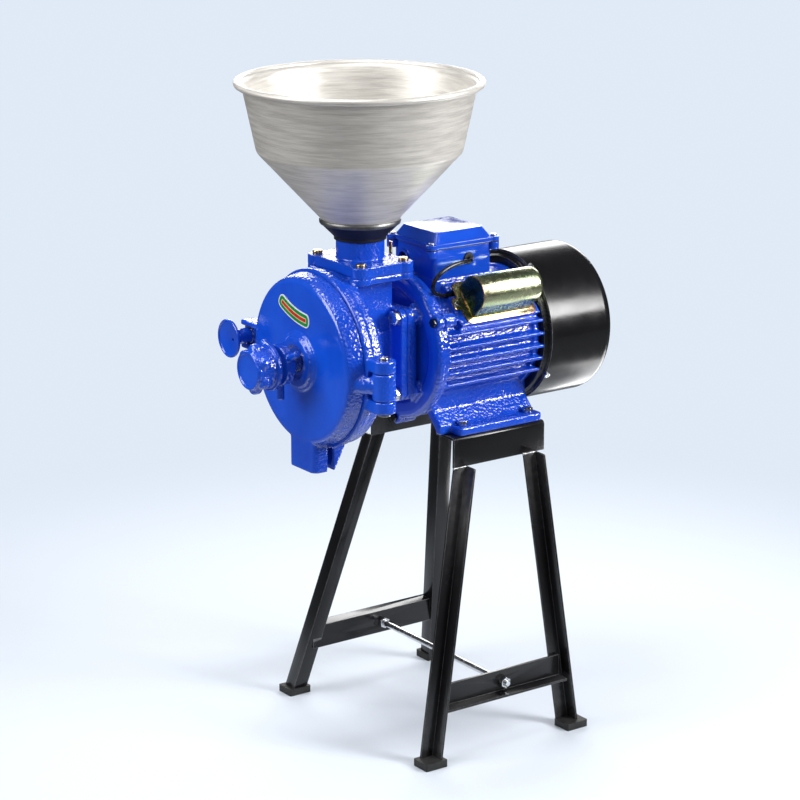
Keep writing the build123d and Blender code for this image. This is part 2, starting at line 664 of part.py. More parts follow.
def shaft_bearings():
    """Two ball bearings, each drawn as its closed outer shape."""
    first = FLANGE_Y1 + 6
    last = REAR_Y1 - BEARING_T - 3
    rings = []
    for y in (first, last):
        ring = turned([(SHAFT_R + RUN, y), (17, y), (17, y + 0.8), (22, y + 0.8), (22, y),
                       (BEARING_OUT_R, y), (BEARING_OUT_R, y + BEARING_T), (22, y + BEARING_T),
                       (22, y + BEARING_T - 0.8), (17, y + BEARING_T - 0.8), (17, y + BEARING_T),
                       (SHAFT_R + RUN, y + BEARING_T)])
        rings.append(ring)
    return group(rings)


def tie_bolts():
    """Bolts that hold the front end shield to the frame."""
    bolts = []
    for angle in TIE_BOLT_ANGLES:
        x, z = polar(TIE_BOLT_AT, angle)
        place = Pos(x, SHIELD_Y1 - 10, z) * Rot(90, 0, 0)
        bolts.append(place * hex_bolt(10, 4.5, TIE_BOLT_R, 26))
    return group(bolts)


def stator_core():
    """Laminated stator pressed into the frame."""
    return turned([(STATOR_IN_R, FACE_Y + STATOR_START), (FRAME_BORE_R, FACE_Y + STATOR_START),
                   (FRAME_BORE_R, FACE_Y + STATOR_END), (STATOR_IN_R, FACE_Y + STATOR_END)])


def stator_windings():
    """The two end turns of the stator winding."""
    ends = []
    for y0, y1 in ((STATOR_START - WINDING_T, STATOR_START), (STATOR_END, STATOR_END + WINDING_T)):
        a, b = FACE_Y + y0, FACE_Y + y1
        coil = turned([(STATOR_IN_R + 2, a), (FRAME_BORE_R - 3, a), (FRAME_BORE_R - 3, b),
                       (STATOR_IN_R + 2, b)])
        far = coil.edges().filter_by(GeomType.CIRCLE)
        far = far.sort_by(Axis.Y)[:2] if y0 < STATOR_START else far.sort_by(Axis.Y)[-2:]
        ends.append(fillet(far, 6))
    return group(ends)


def fan_cowl():
    """Pressed steel fan cowl with a slotted end."""
    shell = along_y(COWL_R, COWL_Y0, COWL_Y1)
    shell = fillet(shell.edges().filter_by(GeomType.CIRCLE).sort_by(Axis.Y)[-1], COWL_EDGE)
    inside = along_y(COWL_R - COWL_WALL, COWL_Y0 - 1, COWL_Y1 - COWL_WALL)
    inside = fillet(inside.edges().filter_by(GeomType.CIRCLE).sort_by(Axis.Y)[-1],
                    COWL_EDGE - COWL_WALL)
    shell -= inside
    slots = []
    for radius, length, count in ((64, 20, 20), (38, 16, 12)):
        for n in range(count):
            x, z = polar(radius, 360 * n / count)
            slot = Pos(x, COWL_Y1, z) * Rot(0, -360 * n / count, 0) * Box(length, 3 * COWL_WALL, 6)
            slots.append(slot)
    shell -= slots
    for angle in COWL_SCREW_ANGLES:
        shell -= Pos(0, REAR_Y1 - 5, AXIS_Z) * Rot(0, -angle, 0) * Pos(COWL_R, 0, 0) \
            * Rot(0, 90, 0) * Cylinder(2.0 + 2 * RUN, 8)
    return largest(shell)


def cowl_screws():
    """Four screws through the cowl into the rear end shield."""
    screws = []
    for angle in COWL_SCREW_ANGLES:
        place = Pos(0, REAR_Y1 - 5, AXIS_Z) * Rot(0, -angle, 0) * Pos(COWL_R + 0.1, 0, 0)
        screws.append(place * Rot(0, 90, 0) * pan_screw(4.0, 2.6, 2.0, 8))
    return group(screws)


def box_screw_places():
    """Places of the screws that hold the terminal box to the frame."""
    x, y = BOX_HALF_X - 10, BOX_HALF_Y - 12
    return [(BOX_X + x, BOX_CY + y), (BOX_X - x, BOX_CY - y)]


def lid_screw_places():
    """Places of the four lid screws, in the lid's ears."""
    x, y = BOX_HALF_X - 1, LID_HALF_Y
    return [(BOX_X + sx * x, BOX_CY + sy * y) for sx in (1, -1) for sy in (1, -1)]


def terminal_box():
    """Cast terminal box with a cable entry in front and the lead's hole at the right."""
    x0, x1 = BOX_X - BOX_HALF_X, BOX_X + BOX_HALF_X
    y0, y1 = BOX_CY - BOX_HALF_Y, BOX_CY + BOX_HALF_Y
    box = fillet(block(x0, x1, y0, y1, BOX_Z0, BOX_Z1).edges().filter_by(Axis.Z), 6)
    for x, y in lid_screw_places():
        ear = along_z(LID_EAR_R, BOX_Z1 - 9, BOX_Z1, x, y)
        box += ear
    entry_x, entry_z = BOX_X + ENTRY_X, AXIS_Z + ENTRY_Z
    box += along_y(ENTRY_BOSS_R, y0 - ENTRY_BOSS_T, y0 + 1, entry_x, entry_z)
    box -= block(x0 + BOX_WALL, x1 - BOX_WALL, y0 + BOX_WALL, y1 - BOX_WALL,
                 BOX_Z0 + BOX_WALL, BOX_Z1 + 1)
    box -= along_y(ENTRY_R, y0 - ENTRY_BOSS_T - 1, y0 + BOX_WALL + 1, entry_x, entry_z)
    box -= along_x(GROMMET_R, x1 - BOX_WALL - 1, x1 + 1, BOX_CY + GROMMET_Y, AXIS_Z + GROMMET_Z)
    for x, y in lid_screw_places():
        box -= along_z(2.0 + RUN, BOX_Z1 - 8, BOX_Z1 + 1, x, y)
    for x, y in box_screw_places():
        box -= along_z(2.5, BOX_Z0 - 1, BOX_Z0 + BOX_WALL + 1, x, y)
    return largest(box)


def lid_outline(z0, z1, grow):
    """The lid's flat outline with its four ears, as a slab."""
    hx, hy = LID_HALF_X - grow, LID_HALF_Y - grow
    slab = block(BOX_X - hx, BOX_X + hx, BOX_CY - hy, BOX_CY + hy, z0, z1)
    for x, y in lid_screw_places():
        slab += along_z(LID_EAR_R, z0, z1, x, y)
    return slab


def terminal_gasket():
    """Rubber gasket between the box and its lid."""
    gasket = lid_outline(BOX_Z1, LID_Z0, 2.0)
    gasket -= block(BOX_X - BOX_HALF_X + 6, BOX_X + BOX_HALF_X - 6,
                    BOX_CY - BOX_HALF_Y + 6, BOX_CY + BOX_HALF_Y - 6, BOX_Z1 - 1, LID_Z0 + 1)
    for x, y in lid_screw_places():
        gasket -= along_z(2.0 + RUN, BOX_Z1 - 1, LID_Z0 + 1, x, y)
    return largest(gasket)


def terminal_lid():
    """Hollow lid: a rim with four ears and a top with sloping sides."""
    z1 = LID_Z0 + LID_T
    lid = lid_outline(LID_Z0, z1, 0.0)
    foot = Pos(BOX_X, BOX_CY, z1) * RectangleRounded(2 * LID_HALF_X - 6, 2 * LID_HALF_Y - 6, 7)
    top = Pos(BOX_X, BOX_CY, z1 + LID_RISE) * RectangleRounded(
        2 * LID_HALF_X - 6 - 2 * LID_INSET, 2 * LID_HALF_Y - 6 - 2 * LID_INSET, 5)
    lid += loft([foot, top], ruled=True)
    wall = 3.0
    foot = Pos(BOX_X, BOX_CY, LID_Z0 - 1) * RectangleRounded(
        2 * LID_HALF_X - 14, 2 * LID_HALF_Y - 14, 5)
    top = Pos(BOX_X, BOX_CY, z1 + LID_RISE - wall) * RectangleRounded(
        2 * LID_HALF_X - 12 - 2 * LID_INSET, 2 * LID_HALF_Y - 12 - 2 * LID_INSET, 3)
    lid -= loft([foot, top], ruled=True)
    for x, y in lid_screw_places():
        lid -= along_z(2.0 + 2 * RUN, LID_Z0 - 1, z1 + 1, x, y)
        lid -= along_z(4.6, z1, z1 + LID_RISE, x, y)
    return largest(lid)


def terminal_screws():
    """Four pan-head screws of the lid, and two that hold the board and the box to the frame."""
    lid = [Pos(x, y, LID_Z0 + LID_T) * pan_screw(4.0, 2.8, 2.0, LID_T + GASKET_T + 7)
           for x, y in lid_screw_places()]
    board = [Pos(x, y, BOX_Z0 + BOX_WALL + BOARD_T) * pan_screw(4.0, 2.6, 2.0, BOARD_T + BOX_WALL + 6)
             for x, y in box_screw_places()]
    return group(lid + board)


def terminal_board():
    """Moulded terminal board on the floor of the box, held by its two screws."""
    z0 = BOX_Z0 + BOX_WALL
    board = block(BOX_X - 33, BOX_X + 33, BOX_CY - 36, BOX_CY + 36, z0, z0 + BOARD_T)
    for n in range(3):
        board += block(BOX_X - 20, BOX_X + 20, BOX_CY - 17 + 16 * n, BOX_CY - 15 + 16 * n, z0, z0 + 14)
    for x, y in box_screw_places():
        board -= along_z(2.5, z0 - 1, z0 + BOARD_T + 1, x, y)
    return largest(board)


def lead_grommet():
    """Rubber grommet in the right side of the terminal box."""
    x1 = BOX_X + BOX_HALF_X
    y, z = BOX_CY + GROMMET_Y, AXIS_Z + GROMMET_Z
    ring = along_x(GROMMET_R, x1 - BOX_WALL, x1, y, z)
    flange = along_x(GROMMET_R + 2.2, x1, x1 + 2.2, y, z)
    ring += fillet(flange.edges().filter_by(GeomType.CIRCLE).sort_by(Axis.X)[-1], 1.4)
    ring += along_x(GROMMET_R + 2.2, x1 - BOX_WALL - 1.5, x1 - BOX_WALL, y, z)
    return largest(ring - along_x(LEAD_R, x1 - 10, x1 + 10, y, z))


# ================================================================ capacitor
def cap_frame(x, y, z):
    """A place on the capacitor's seat: x across it, y along the motor, z off the seat."""
    return Pos(0, 0, AXIS_Z) * Rot(0, 90 - CAP_ANGLE, 0) * Pos(x, FACE_Y + y, CAP_SEAT + z)


def cap_screw_places():
    """Places of the cover's two screws, in the tabs at its two ends."""
    return [cap_frame(0, CAP_TAB_START + 5.5, CAP_SHEET), cap_frame(0, FRAME_END - 3.8, CAP_SHEET)]


def cap_body(r, y0, y1, rise, z0):
    """The cover's arched body between two stations."""
    arch = Pos(0, 0, rise) * Rot(90, 0, 0) * Cylinder(r, y1 - y0)
    sides = Pos(0, 0, (rise + z0) / 2) * Box(2 * r, y1 - y0, rise - z0)
    cut = Pos(0, 0, z0 - r) * Box(4 * r, 2 * (y1 - y0), 2 * r)
    return arch + sides - cut


def capacitor_cover():
    """Deep-drawn capacitor cover with a flange all round and a screw tab at each end."""
    middle = (CAP_START + CAP_END) / 2
    body = cap_body(CAP_R, CAP_START, CAP_END, CAP_RISE, 0)
    body = fillet(body.edges().group_by(Axis.Y)[-1].sort_by(Axis.Z)[1:], CAP_DOME)
    flange = block(-CAP_FLANGE, CAP_FLANGE, CAP_FLANGE_START - middle, CAP_FLANGE_END - middle, 0, CAP_SHEET)
    flange = fillet(flange.edges().filter_by(Axis.Z), CAP_CORNER)
    tabs = block(-CAP_TAB, CAP_TAB, CAP_TAB_START - middle, FRAME_END - 0.5 - middle, 0, CAP_SHEET)
    tabs = fillet(tabs.edges().filter_by(Axis.Z), 4)
    shell = body + flange + tabs
    inside = cap_body(CAP_R - CAP_SHEET, CAP_START + CAP_SHEET, CAP_END - CAP_SHEET, CAP_RISE, -1)
    inside = fillet(inside.edges().group_by(Axis.Y)[-1].sort_by(Axis.Z)[1:], CAP_DOME - CAP_SHEET)
    shell -= inside
    cover = cap_frame(0, middle, 0) * shell
    for place in cap_screw_places():
        cover -= place * Cylinder(2.0 + 2 * RUN, 6)
    return largest(cover)


def capacitor():
    """The capacitor's can under the cover."""
    middle = CAP_START + CAN_INSET + CAN_L / 2
    can = Rot(90, 0, 0) * Cylinder(CAN_R, CAN_L)
    can = fillet(can.edges().filter_by(GeomType.CIRCLE), 2)
    return cap_frame(0, middle, CAN_R) * can


def capacitor_screws():
    """Two screws that hold the cover to the frame."""
    return group([place * pan_screw(3.4, 2.6, 2.0, 7) for place in cap_screw_places()])


def lead_route():
    """The bends of the capacitor's lead: out of the terminal box, under the cover, to the can."""
    grommet = Vector(BOX_X + BOX_HALF_X, BOX_CY + GROMMET_Y, AXIS_Z + GROMMET_Z)
    return [grommet + Vector(*step) for step in LEAD_OUT] + [cap_frame(*at).position for at in LEAD_IN]


def capacitor_lead():
    """The lead from the terminal box to the capacitor, held at both ends."""
    points = lead_route()
    radii = []
    for a, b, c in zip(points, points[1:], points[2:]):
        turn = (b - a).get_angle(c - b)
        run = min((b - a).length, (c - b).length)
        radii.append(0.45 * run / tan(radians(turn / 2)))
    print("lead radii", [round(r, 1) for r in radii])
    path = FilletPolyline(*points, radius=radii)
    lead = swept_wire(path, LEAD_R)
    print("lead volume ratio", round(lead.volume / (pi * LEAD_R ** 2 * path.length), 4),
          "length", round(path.length, 1))
    return lead


# ================================================================ mill housing
def inlet_slab(z0, z1):
    """The inlet flange's outline: a plate with four rounded lugs."""
    x, y = INLET_SCREW_X, INLET_SCREW_Y
    r = INLET_LUG_R
    slab = block(-x + 4, x - 4, INLET_CY - y - r + 3, INLET_CY + y + r - 3, z0, z1)
    slab += block(-x - r + 3, x + r - 3, INLET_CY - y + 4, INLET_CY + y - 4, z0, z1)
    for sx in (1, -1):
        for sy in (1, -1):
            slab += along_z(r, z0, z1, sx * x, INLET_CY + sy * y)
    return slab


def hinge_knuckle(z0, z1, reach_y):
    """One knuckle of the housing's side of the hinge, with its web to the rim."""
    knuckle = along_z(HINGE_R, z0, z1, HINGE_X, HINGE_CY)
    web = block(BAND_R - HINGE_WEB, HINGE_X, SEAM_Y + 1, reach_y, z0, z1)
    return knuckle + web


def mill_housing():
    """Cast housing: grinding chamber, feed throat, flanges, hinge and clamp lugs, rear spout."""
    body = turned([(0, SEAM_Y), (RIM_R, SEAM_Y), (RIM_R, RIM_END_Y), (GROOVE_R, RIM_END_Y),
                   (GROOVE_R, BAND_Y0), (BAND_R, BAND_Y0), (BAND_R, BAND_Y1 - BAND_EDGE),
                   (BAND_R - 0.3 * BAND_EDGE, BAND_Y1 - 0.3 * BAND_EDGE),
                   (BAND_R - BAND_EDGE, BAND_Y1), (0, BAND_Y1)])
    seat_bottom = SEAT_Z - INLET_SEAT_T
    body += block(-THROAT_HALF, THROAT_HALF, BAND_Y1 - 1, THROAT_Y1, AXIS_Z, seat_bottom)
    body += along_y(THROAT_HALF, BAND_Y1 - 1, FLANGE_Y0 + 1)
    body -= block(-BAND_R, BAND_R, INLET_CY - INLET_SCREW_Y - INLET_LUG_R - 1, BAND_Y1 + 1,
                  SEAT_Z, INLET_TOP)
    body += inlet_slab(seat_bottom, SEAT_Z)
    half = REAR_FLANGE_HALF
    flange = block(-half, half, FLANGE_Y0, FLANGE_Y1, AXIS_Z - half, AXIS_Z + half)
    body += fillet(flange.edges().filter_by(Axis.Y), REAR_CORNER_R)
    for side in (1, -1):
        rib = prism([(side * 30, -30), (side * 36, -30), (side * 36, 30), (side * 30, 30)],
                    BAND_Y1 - 1, FLANGE_Y0 + 1)
        body += rib

    mid = HINGE_MID_H / 2
    for z0, z1 in ((mid + HINGE_GAP, mid + HINGE_END_H), (-mid - HINGE_END_H, -mid - HINGE_GAP)):
        body += hinge_knuckle(HINGE_CZ + z0, HINGE_CZ + z1, HINGE_CY + HINGE_R * 0.8)
    lug_end = SEAM_Y + 26
    body += along_y(CLAMP_EAR_OUT, SEAM_Y, lug_end, CLAMP_X, CLAMP_CZ)
    body += block(CLAMP_X, -BAND_R + 12, SEAM_Y, lug_end,
                  CLAMP_CZ - CLAMP_EAR_OUT, CLAMP_CZ + CLAMP_EAR_OUT)

    body += rear_spout()
    body -= along_y(CHAMBER_R, SEAM_Y - 1, CHAMBER_Y)
    body -= block(-SPOUT_HALF + SPOUT_WALL, SPOUT_HALF - SPOUT_WALL, SEAM_Y - 1,
                  FACE_Y + SPOUT_REAR_START + 6, AXIS_Z - RIM_R - 4, AXIS_Z - CHAMBER_R + 12)
    inner = THROAT_HALF - THROAT_WALL
    body -= along_y(inner, CHAMBER_Y - 1, FLANGE_Y0 - 6)
    body -= block(-inner, inner, BAND_Y1 + 6, THROAT_Y1 - THROAT_WALL + 1, AXIS_Z, seat_bottom + 0.01)
    body -= along_z(TUBE_BORE_R, seat_bottom - 1, SEAT_Z + 1, 0, INLET_CY)
    body -= along_y(SHAFT_R + 1, FLANGE_Y0 - 8, FLANGE_Y1 + 1)
    body -= along_y(20, FLANGE_Y1 - 7, FLANGE_Y1 + 1)
    body -= along_z(HINGE_PIN_R + RUN, HINGE_CZ - mid - HINGE_END_H - 1,
                    HINGE_CZ + mid + HINGE_END_H + 1, HINGE_X, HINGE_CY)
    swing = HINGE_R + 1.0
    body -= along_z(swing, HINGE_CZ - mid - HINGE_GAP, HINGE_CZ + mid + HINGE_GAP, HINGE_X, HINGE_CY)
    body -= along_y(CLAMP_STUD_R + CLAMP_STUD_PLAY, SEAM_Y - 1, SEAM_Y + CLAMP_STUD_IN + 4,
                    CLAMP_X, CLAMP_CZ)
    for x in (YOKE_BOLT, -YOKE_BOLT):
        for z in (YOKE_BOLT, -YOKE_BOLT):
            body -= along_y(5 + BOLT_PLAY, FLANGE_Y0 - 1, FLANGE_Y1 + 1, x, AXIS_Z + z)
    for sx in (1, -1):
        for sy in (1, -1):
            body -= along_z(3 + RUN, SEAT_Z - 8, SEAT_Z + 1, sx * INLET_SCREW_X,
                            INLET_CY + sy * INLET_SCREW_Y)
    for angle in (45, 135, 225, 315):
        x, z = polar(DISC_SCREW_AT, angle)
        body -= along_y(3 + RUN, CHAMBER_Y - 1, CHAMBER_Y + 6, x, z)
    return largest(body)


def rear_spout():
    """The housing's half of the flour spout: two side walls and a sloping back."""
    z0 = AXIS_Z - SPOUT_DROP
    z1 = AXIS_Z - SPOUT_REAR_Z
    ya, yb = FACE_Y + SPOUT_REAR_START, FACE_Y + SPOUT_REAR_END
    top = AXIS_Z - CHAMBER_R - 3
    outline = [(ya, z0), (ya + 2, z0), (yb, z1), (yb, top), (ya, top)]
    face = make_face(Plane.YZ * Polyline(*outline, close=True))
    spout = Pos(-SPOUT_HALF, 0, 0) * extrude(face, 2 * SPOUT_HALF, dir=(1, 0, 0))
    wall = SPOUT_WALL
    inner = [(ya - 1, z0 - 1), (ya + 2 - wall - 1, z0 - 1), (yb - wall, z1), (yb - wall, top), (ya - 1, top)]
    cut = make_face(Plane.YZ * Polyline(*inner, close=True))
    spout -= Pos(-SPOUT_HALF + wall, 0, 0) * extrude(cut, 2 * (SPOUT_HALF - wall), dir=(1, 0, 0))
    return spout


def housing_bolts():
    """Four hexagon bolts from the housing into the yoke plate."""
    bolts = []
    for x in (YOKE_BOLT, -YOKE_BOLT):
        for z in (YOKE_BOLT, -YOKE_BOLT):
            place = Pos(x, FLANGE_Y0, AXIS_Z + z) * Rot(90, 0, 0)
            bolts.append(place * hex_bolt(16, 7, 5, REAR_FLANGE_T + 12))
    return group(bolts)


def shaft_seal():
    """Felt ring round the shaft in the housing's rear wall."""
    return turned([(SHAFT_R + RUN, FLANGE_Y1 - 7), (20, FLANGE_Y1 - 7), (20, FLANGE_Y1),
                   (SHAFT_R + RUN, FLANGE_Y1)])


def inlet_casting():
    """Inlet flange and tube, with the gate's slot under it."""
    casting = inlet_slab(SEAT_Z, INLET_TOP)
    casting += along_z(TUBE_R, INLET_TOP - 1, TUBE_TOP_Z, 0, INLET_CY)
    casting -= along_z(TUBE_BORE_R, SEAT_Z - 1, TUBE_TOP_Z + 1, 0, INLET_CY)
    casting -= spun([(0, AXIS_Z + HOPPER_CONE_Z - (HOPPER_CONE_R + COLLAR_GAP) / CONE_SLOPE),
                     (cone_r(HOPPER_CONE_Z, COLLAR_GAP), AXIS_Z + HOPPER_CONE_Z),
                     (0, AXIS_Z + HOPPER_CONE_Z)])
    half = GATE_HALF + SLIDE
    slot_end = INLET_CY + INLET_SCREW_Y + GATE_TRAVEL + 1
    casting -= block(-half, half, INLET_CY - TUBE_BORE_R - 3, slot_end,
                     SEAT_Z - 1, SEAT_Z + GATE_T + 2 * SLIDE)
    for sx in (1, -1):
        for sy in (1, -1):
            casting -= along_z(3 + BOLT_PLAY, SEAT_Z - 1, INLET_TOP + 1, sx * INLET_SCREW_X,
                               INLET_CY + sy * INLET_SCREW_Y)
    return largest(casting)


def inlet_screws():
    """Four screws through the inlet flange into the housing."""
    return group([Pos(sx * INLET_SCREW_X, INLET_CY + sy * INLET_SCREW_Y, INLET_TOP)
                  * pan_screw(6.2, 4.4, 3.0, INLET_T + 7) for sx in (1, -1) for sy in (1, -1)])


def feed_gate():
    """Sliding gate under the tube, with a turned-up tab behind the flange."""
    z0 = SEAT_Z + SLIDE
    y0 = INLET_CY - TUBE_BORE_R - 2.5
    tab_y = INLET_CY + INLET_SCREW_Y + INLET_LUG_R + 1
    gate = block(-GATE_HALF, GATE_HALF, y0, INLET_CY + INLET_SCREW_Y, z0, z0 + GATE_T)
    gate += block(-GATE_TAB_W / 2, GATE_TAB_W / 2, INLET_CY, tab_y + GATE_T, z0, z0 + GATE_T)
    tab = block(-GATE_TAB_W / 2, GATE_TAB_W / 2, tab_y, tab_y + GATE_T, z0, z0 + GATE_TAB_H)
    return gate + tab


# ================================================================ hopper
def cone_r(z, offset):
    """Outer radius of the hopper's cone at a height above the shaft axis, plus an offset."""
    return HOPPER_CONE_R + (z - HOPPER_CONE_Z) * CONE_SLOPE + offset


def hopper():
    """Spun hopper: rolled lip, flared and tapered wall, cone, and the neck that stands in the tube."""
    neck_r = TUBE_BORE_R - SLIDE
    neck_top = HOPPER_CONE_Z - (HOPPER_CONE_R - neck_r) / CONE_SLOPE
    t = HOPPER_WALL
    slant = t * sqrt(1 + CONE_SLOPE ** 2)
    lip = HOPPER_R - HOPPER_LIP_R
    rim = HOPPER_RIM_Z - HOPPER_LIP_R
    flare = HOPPER_RIM_Z - HOPPER_FLARE
    outer = [(neck_r, neck_top - HOPPER_NECK), (neck_r, neck_top),
             (HOPPER_SHOULDER_R, HOPPER_SHOULDER_Z), (HOPPER_FLARE_R, flare), (lip, rim)]
    inner = [(lip - 2 * t, rim), (HOPPER_FLARE_R - t, flare + t),
             (HOPPER_SHOULDER_R - t, HOPPER_SHOULDER_Z + t / 2),
             (neck_r - t, neck_top + slant - t / 2), (neck_r - t, neck_top - HOPPER_NECK)]
    shell = spun([(r, AXIS_Z + z) for r, z in outer + inner])
    roll = Pos(0, INLET_CY, AXIS_Z + rim) * Torus(lip, HOPPER_LIP_R)
    return largest(shell + roll)


def hopper_collar():
    """Cup on the inlet tube that carries the cone, with a rolled ring at its edge."""
    bore = TUBE_R + RUN
    sleeve_r = bore + COLLAR_WALL
    top = HOPPER_CONE_Z - COLLAR_UNDER
    ring = top - COLLAR_RING_H
    low = ring - COLLAR_CUP_H
    meet = HOPPER_CONE_Z + (bore - COLLAR_GAP - HOPPER_CONE_R) / CONE_SLOPE
    outline = [(cone_r(top, COLLAR_GAP), top), (COLLAR_R, top), (COLLAR_R, ring),
               (COLLAR_R - COLLAR_WALL, ring), (sleeve_r, low), (sleeve_r, low - COLLAR_SLEEVE),
               (bore, low - COLLAR_SLEEVE), (bore, meet)]
    collar = spun([(r, AXIS_Z + z) for r, z in outline])
    edges = collar.edges().filter_by(GeomType.CIRCLE)
    edges = [e for e in edges if abs(e.radius - COLLAR_R) < 0.01]
    return largest(fillet(edges, COLLAR_EDGE))


# ================================================================ door
def door():
    """Cast door: dished cover, screw boss, hinge arm, clamp ear and front of the spout."""
    y = FACE_Y
    body = turned([(0, y), (DOOR_R - DOOR_EDGE, y), (DOOR_R - 0.3 * DOOR_EDGE, y + 0.3 * DOOR_EDGE),
                   (DOOR_R, y + DOOR_EDGE), (DOOR_RIM_R, SEAM_Y), (0, SEAM_Y)])
    body = soften_door_edge(body)
    body += along_y(BOSS_R, y - BOSS_H, y + 1)
    body += along_y(BOSS_STEP_R, y - BOSS_STEP_H, y)
    half, wall = SPOUT_HALF, SPOUT_WALL
    lip = block(-half, half, y + SPOUT_FRONT, y + SPOUT_DOOR_END, AXIS_Z - SPOUT_DROP, AXIS_Z - CHAMBER_R - 2)
    lip = fillet(lip.edges().filter_by(Axis.Z).sort_by(Axis.Y)[:2], 9)
    lip -= block(-half + wall, half - wall, y + SPOUT_FRONT + wall, SEAM_Y + 1,
                 AXIS_Z - SPOUT_DROP - 1, AXIS_Z - CHAMBER_R + 4)
    body += lip
    mid = HINGE_MID_H / 2
    body += along_z(HINGE_R, HINGE_CZ - mid, HINGE_CZ + mid, HINGE_X, HINGE_CY)
    body += hinge_arm()
    out, ear_y = CLAMP_EAR_OUT, FACE_Y + CLAMP_EAR_FRONT
    ear_x = CLAMP_X - out
    body += block(ear_x, -DOOR_R + 14, ear_y + 6, SEAM_Y, CLAMP_CZ - CLAMP_EAR_HALF, CLAMP_CZ + CLAMP_EAR_HALF)
    for sz in (1, -1):
        z0 = CLAMP_CZ + sz * (CLAMP_EAR_HALF - CLAMP_RIB_H / 2)
        body += block(ear_x, -DOOR_R + 14, ear_y, ear_y + 7, z0 - CLAMP_RIB_H / 2, z0 + CLAMP_RIB_H / 2)
    body -= along_y(CHAMBER_R + 1.5, y + DOOR_WALL, SEAM_Y + 1)
    body += along_y(BOSS_INNER_R, y + DOOR_WALL - 1, y + DOOR_WALL + BOSS_INNER_H)
    body -= block(-half + wall, half - wall, y + SPOUT_FRONT + wall, SEAM_Y + 1,
                  AXIS_Z - SPOUT_DROP - 1, AXIS_Z - CHAMBER_R + 12)
    body -= turned([(SEAL_R - SEAL_W / 2, SEAM_Y - SEAL_H), (SEAL_R + SEAL_W / 2, SEAM_Y - SEAL_H),
                    (SEAL_R + SEAL_W / 2, SEAM_Y + 1), (SEAL_R - SEAL_W / 2, SEAM_Y + 1)])
    body -= along_y(BOSS_RECESS_R, y - BOSS_STEP_H - 1, y - BOSS_STEP_H + BOSS_RECESS)
    body -= along_y(SCREW_R + RUN, y - BOSS_STEP_H - 1, SEAM_Y)
    body -= along_z(HINGE_PIN_R + RUN, HINGE_CZ - mid - 1, HINGE_CZ + mid + 1, HINGE_X, HINGE_CY)
    body -= along_y(CLAMP_STUD_R + BOLT_PLAY, y, SEAM_Y + 1, CLAMP_X, CLAMP_CZ)
    mid += HINGE_GAP
    for z0, z1 in ((mid, mid + 60), (-mid - 60, -mid)):
        body -= along_z(HINGE_R + 1.5, HINGE_CZ + z0, HINGE_CZ + z1, HINGE_X, HINGE_CY)
    return largest(body)


def soften_door_edge(body):
    """Round the three small corners that stand in for the face edge's curve."""
    ring = body.edges().filter_by(GeomType.CIRCLE)
    ring = [e for e in ring if FACE_Y - 0.1 < e.center().Y < FACE_Y + DOOR_EDGE + 0.1 and e.radius > DOOR_R * 0.8]
    return fillet(ring, 3.0)


def hinge_arm():
    """Round arm from the door's side to the middle knuckle."""
    start = Vector(HINGE_ARM_X, FACE_Y + DOOR_DEPTH * 0.55, HINGE_CZ)
    end = Vector(HINGE_X, HINGE_CY, HINGE_CZ)
    way = end - start
    arm = Cylinder(HINGE_ARM_R, way.length)
    arm = Pos(*((start + end) * 0.5)) * Rot(0, 0, degrees(atan2(way.Y, way.X))) * Rot(0, 90, 0) * arm
    arm += Pos(*start) * Sphere(HINGE_ARM_R)
    return arm - along_y(RIM_R + RIM_PLAY, SEAM_Y, HINGE_CY + 2 * HINGE_R)


def door_seal():
    """Rubber ring in the door's groove, flush with the parting face."""
    r0, r1 = SEAL_R - SEAL_W / 2, SEAL_R + SEAL_W / 2
    ring = turned([(r0, SEAM_Y - SEAL_H), (r1, SEAM_Y - SEAL_H), (r1, SEAM_Y), (r0, SEAM_Y)])
    ring -= block(-SPOUT_HALF - 1, SPOUT_HALF + 1, SEAM_Y - SEAL_H - 1, SEAM_Y + 1,
                  AXIS_Z - DOOR_RIM_R - 1, AXIS_Z - DOOR_R * 0.7)
    return largest(ring)


def door_badge():
    """Bent badge with rounded corners, stuck on the door's face."""
    half = degrees(BADGE_L / 2 / BADGE_BEND)
    rings = [BADGE_BEND - BADGE_W / 2, BADGE_BEND + BADGE_W / 2]
    inner, outer = [[(r * sin(radians(a)), BADGE_BEND - r * cos(radians(a))) for a in (-half, 0, half)]
                    for r in rings]
    edge = ThreePointArc(*inner) + Line(inner[2], outer[2]) + ThreePointArc(*outer) + Line(outer[0], inner[0])
    badge = extrude(make_face(edge), BADGE_T)
    badge = fillet(badge.edges().filter_by(Axis.Z), BADGE_CORNER)
    return Pos(BADGE_X, FACE_Y, AXIS_Z + BADGE_Z) * Rot(0, -BADGE_TILT, 0) * Rot(90, 0, 0) * badge


def hinge_pin():
    """Hinge pin with a head at its lower end."""
    half = HINGE_MID_H / 2 + HINGE_END_H
    pin = along_z(HINGE_PIN_R, HINGE_CZ - half - HINGE_PIN_OUT, HINGE_CZ + half + HINGE_PIN_OUT,
                  HINGE_X, HINGE_CY)
    pin = chamfer(pin.edges().filter_by(GeomType.CIRCLE).sort_by(Axis.Z)[-1], 1.2)
    return pin + along_z(HINGE_PIN_R + 1.6, HINGE_CZ - half - HINGE_PIN_OUT, HINGE_CZ - half,
                         HINGE_X, HINGE_CY)


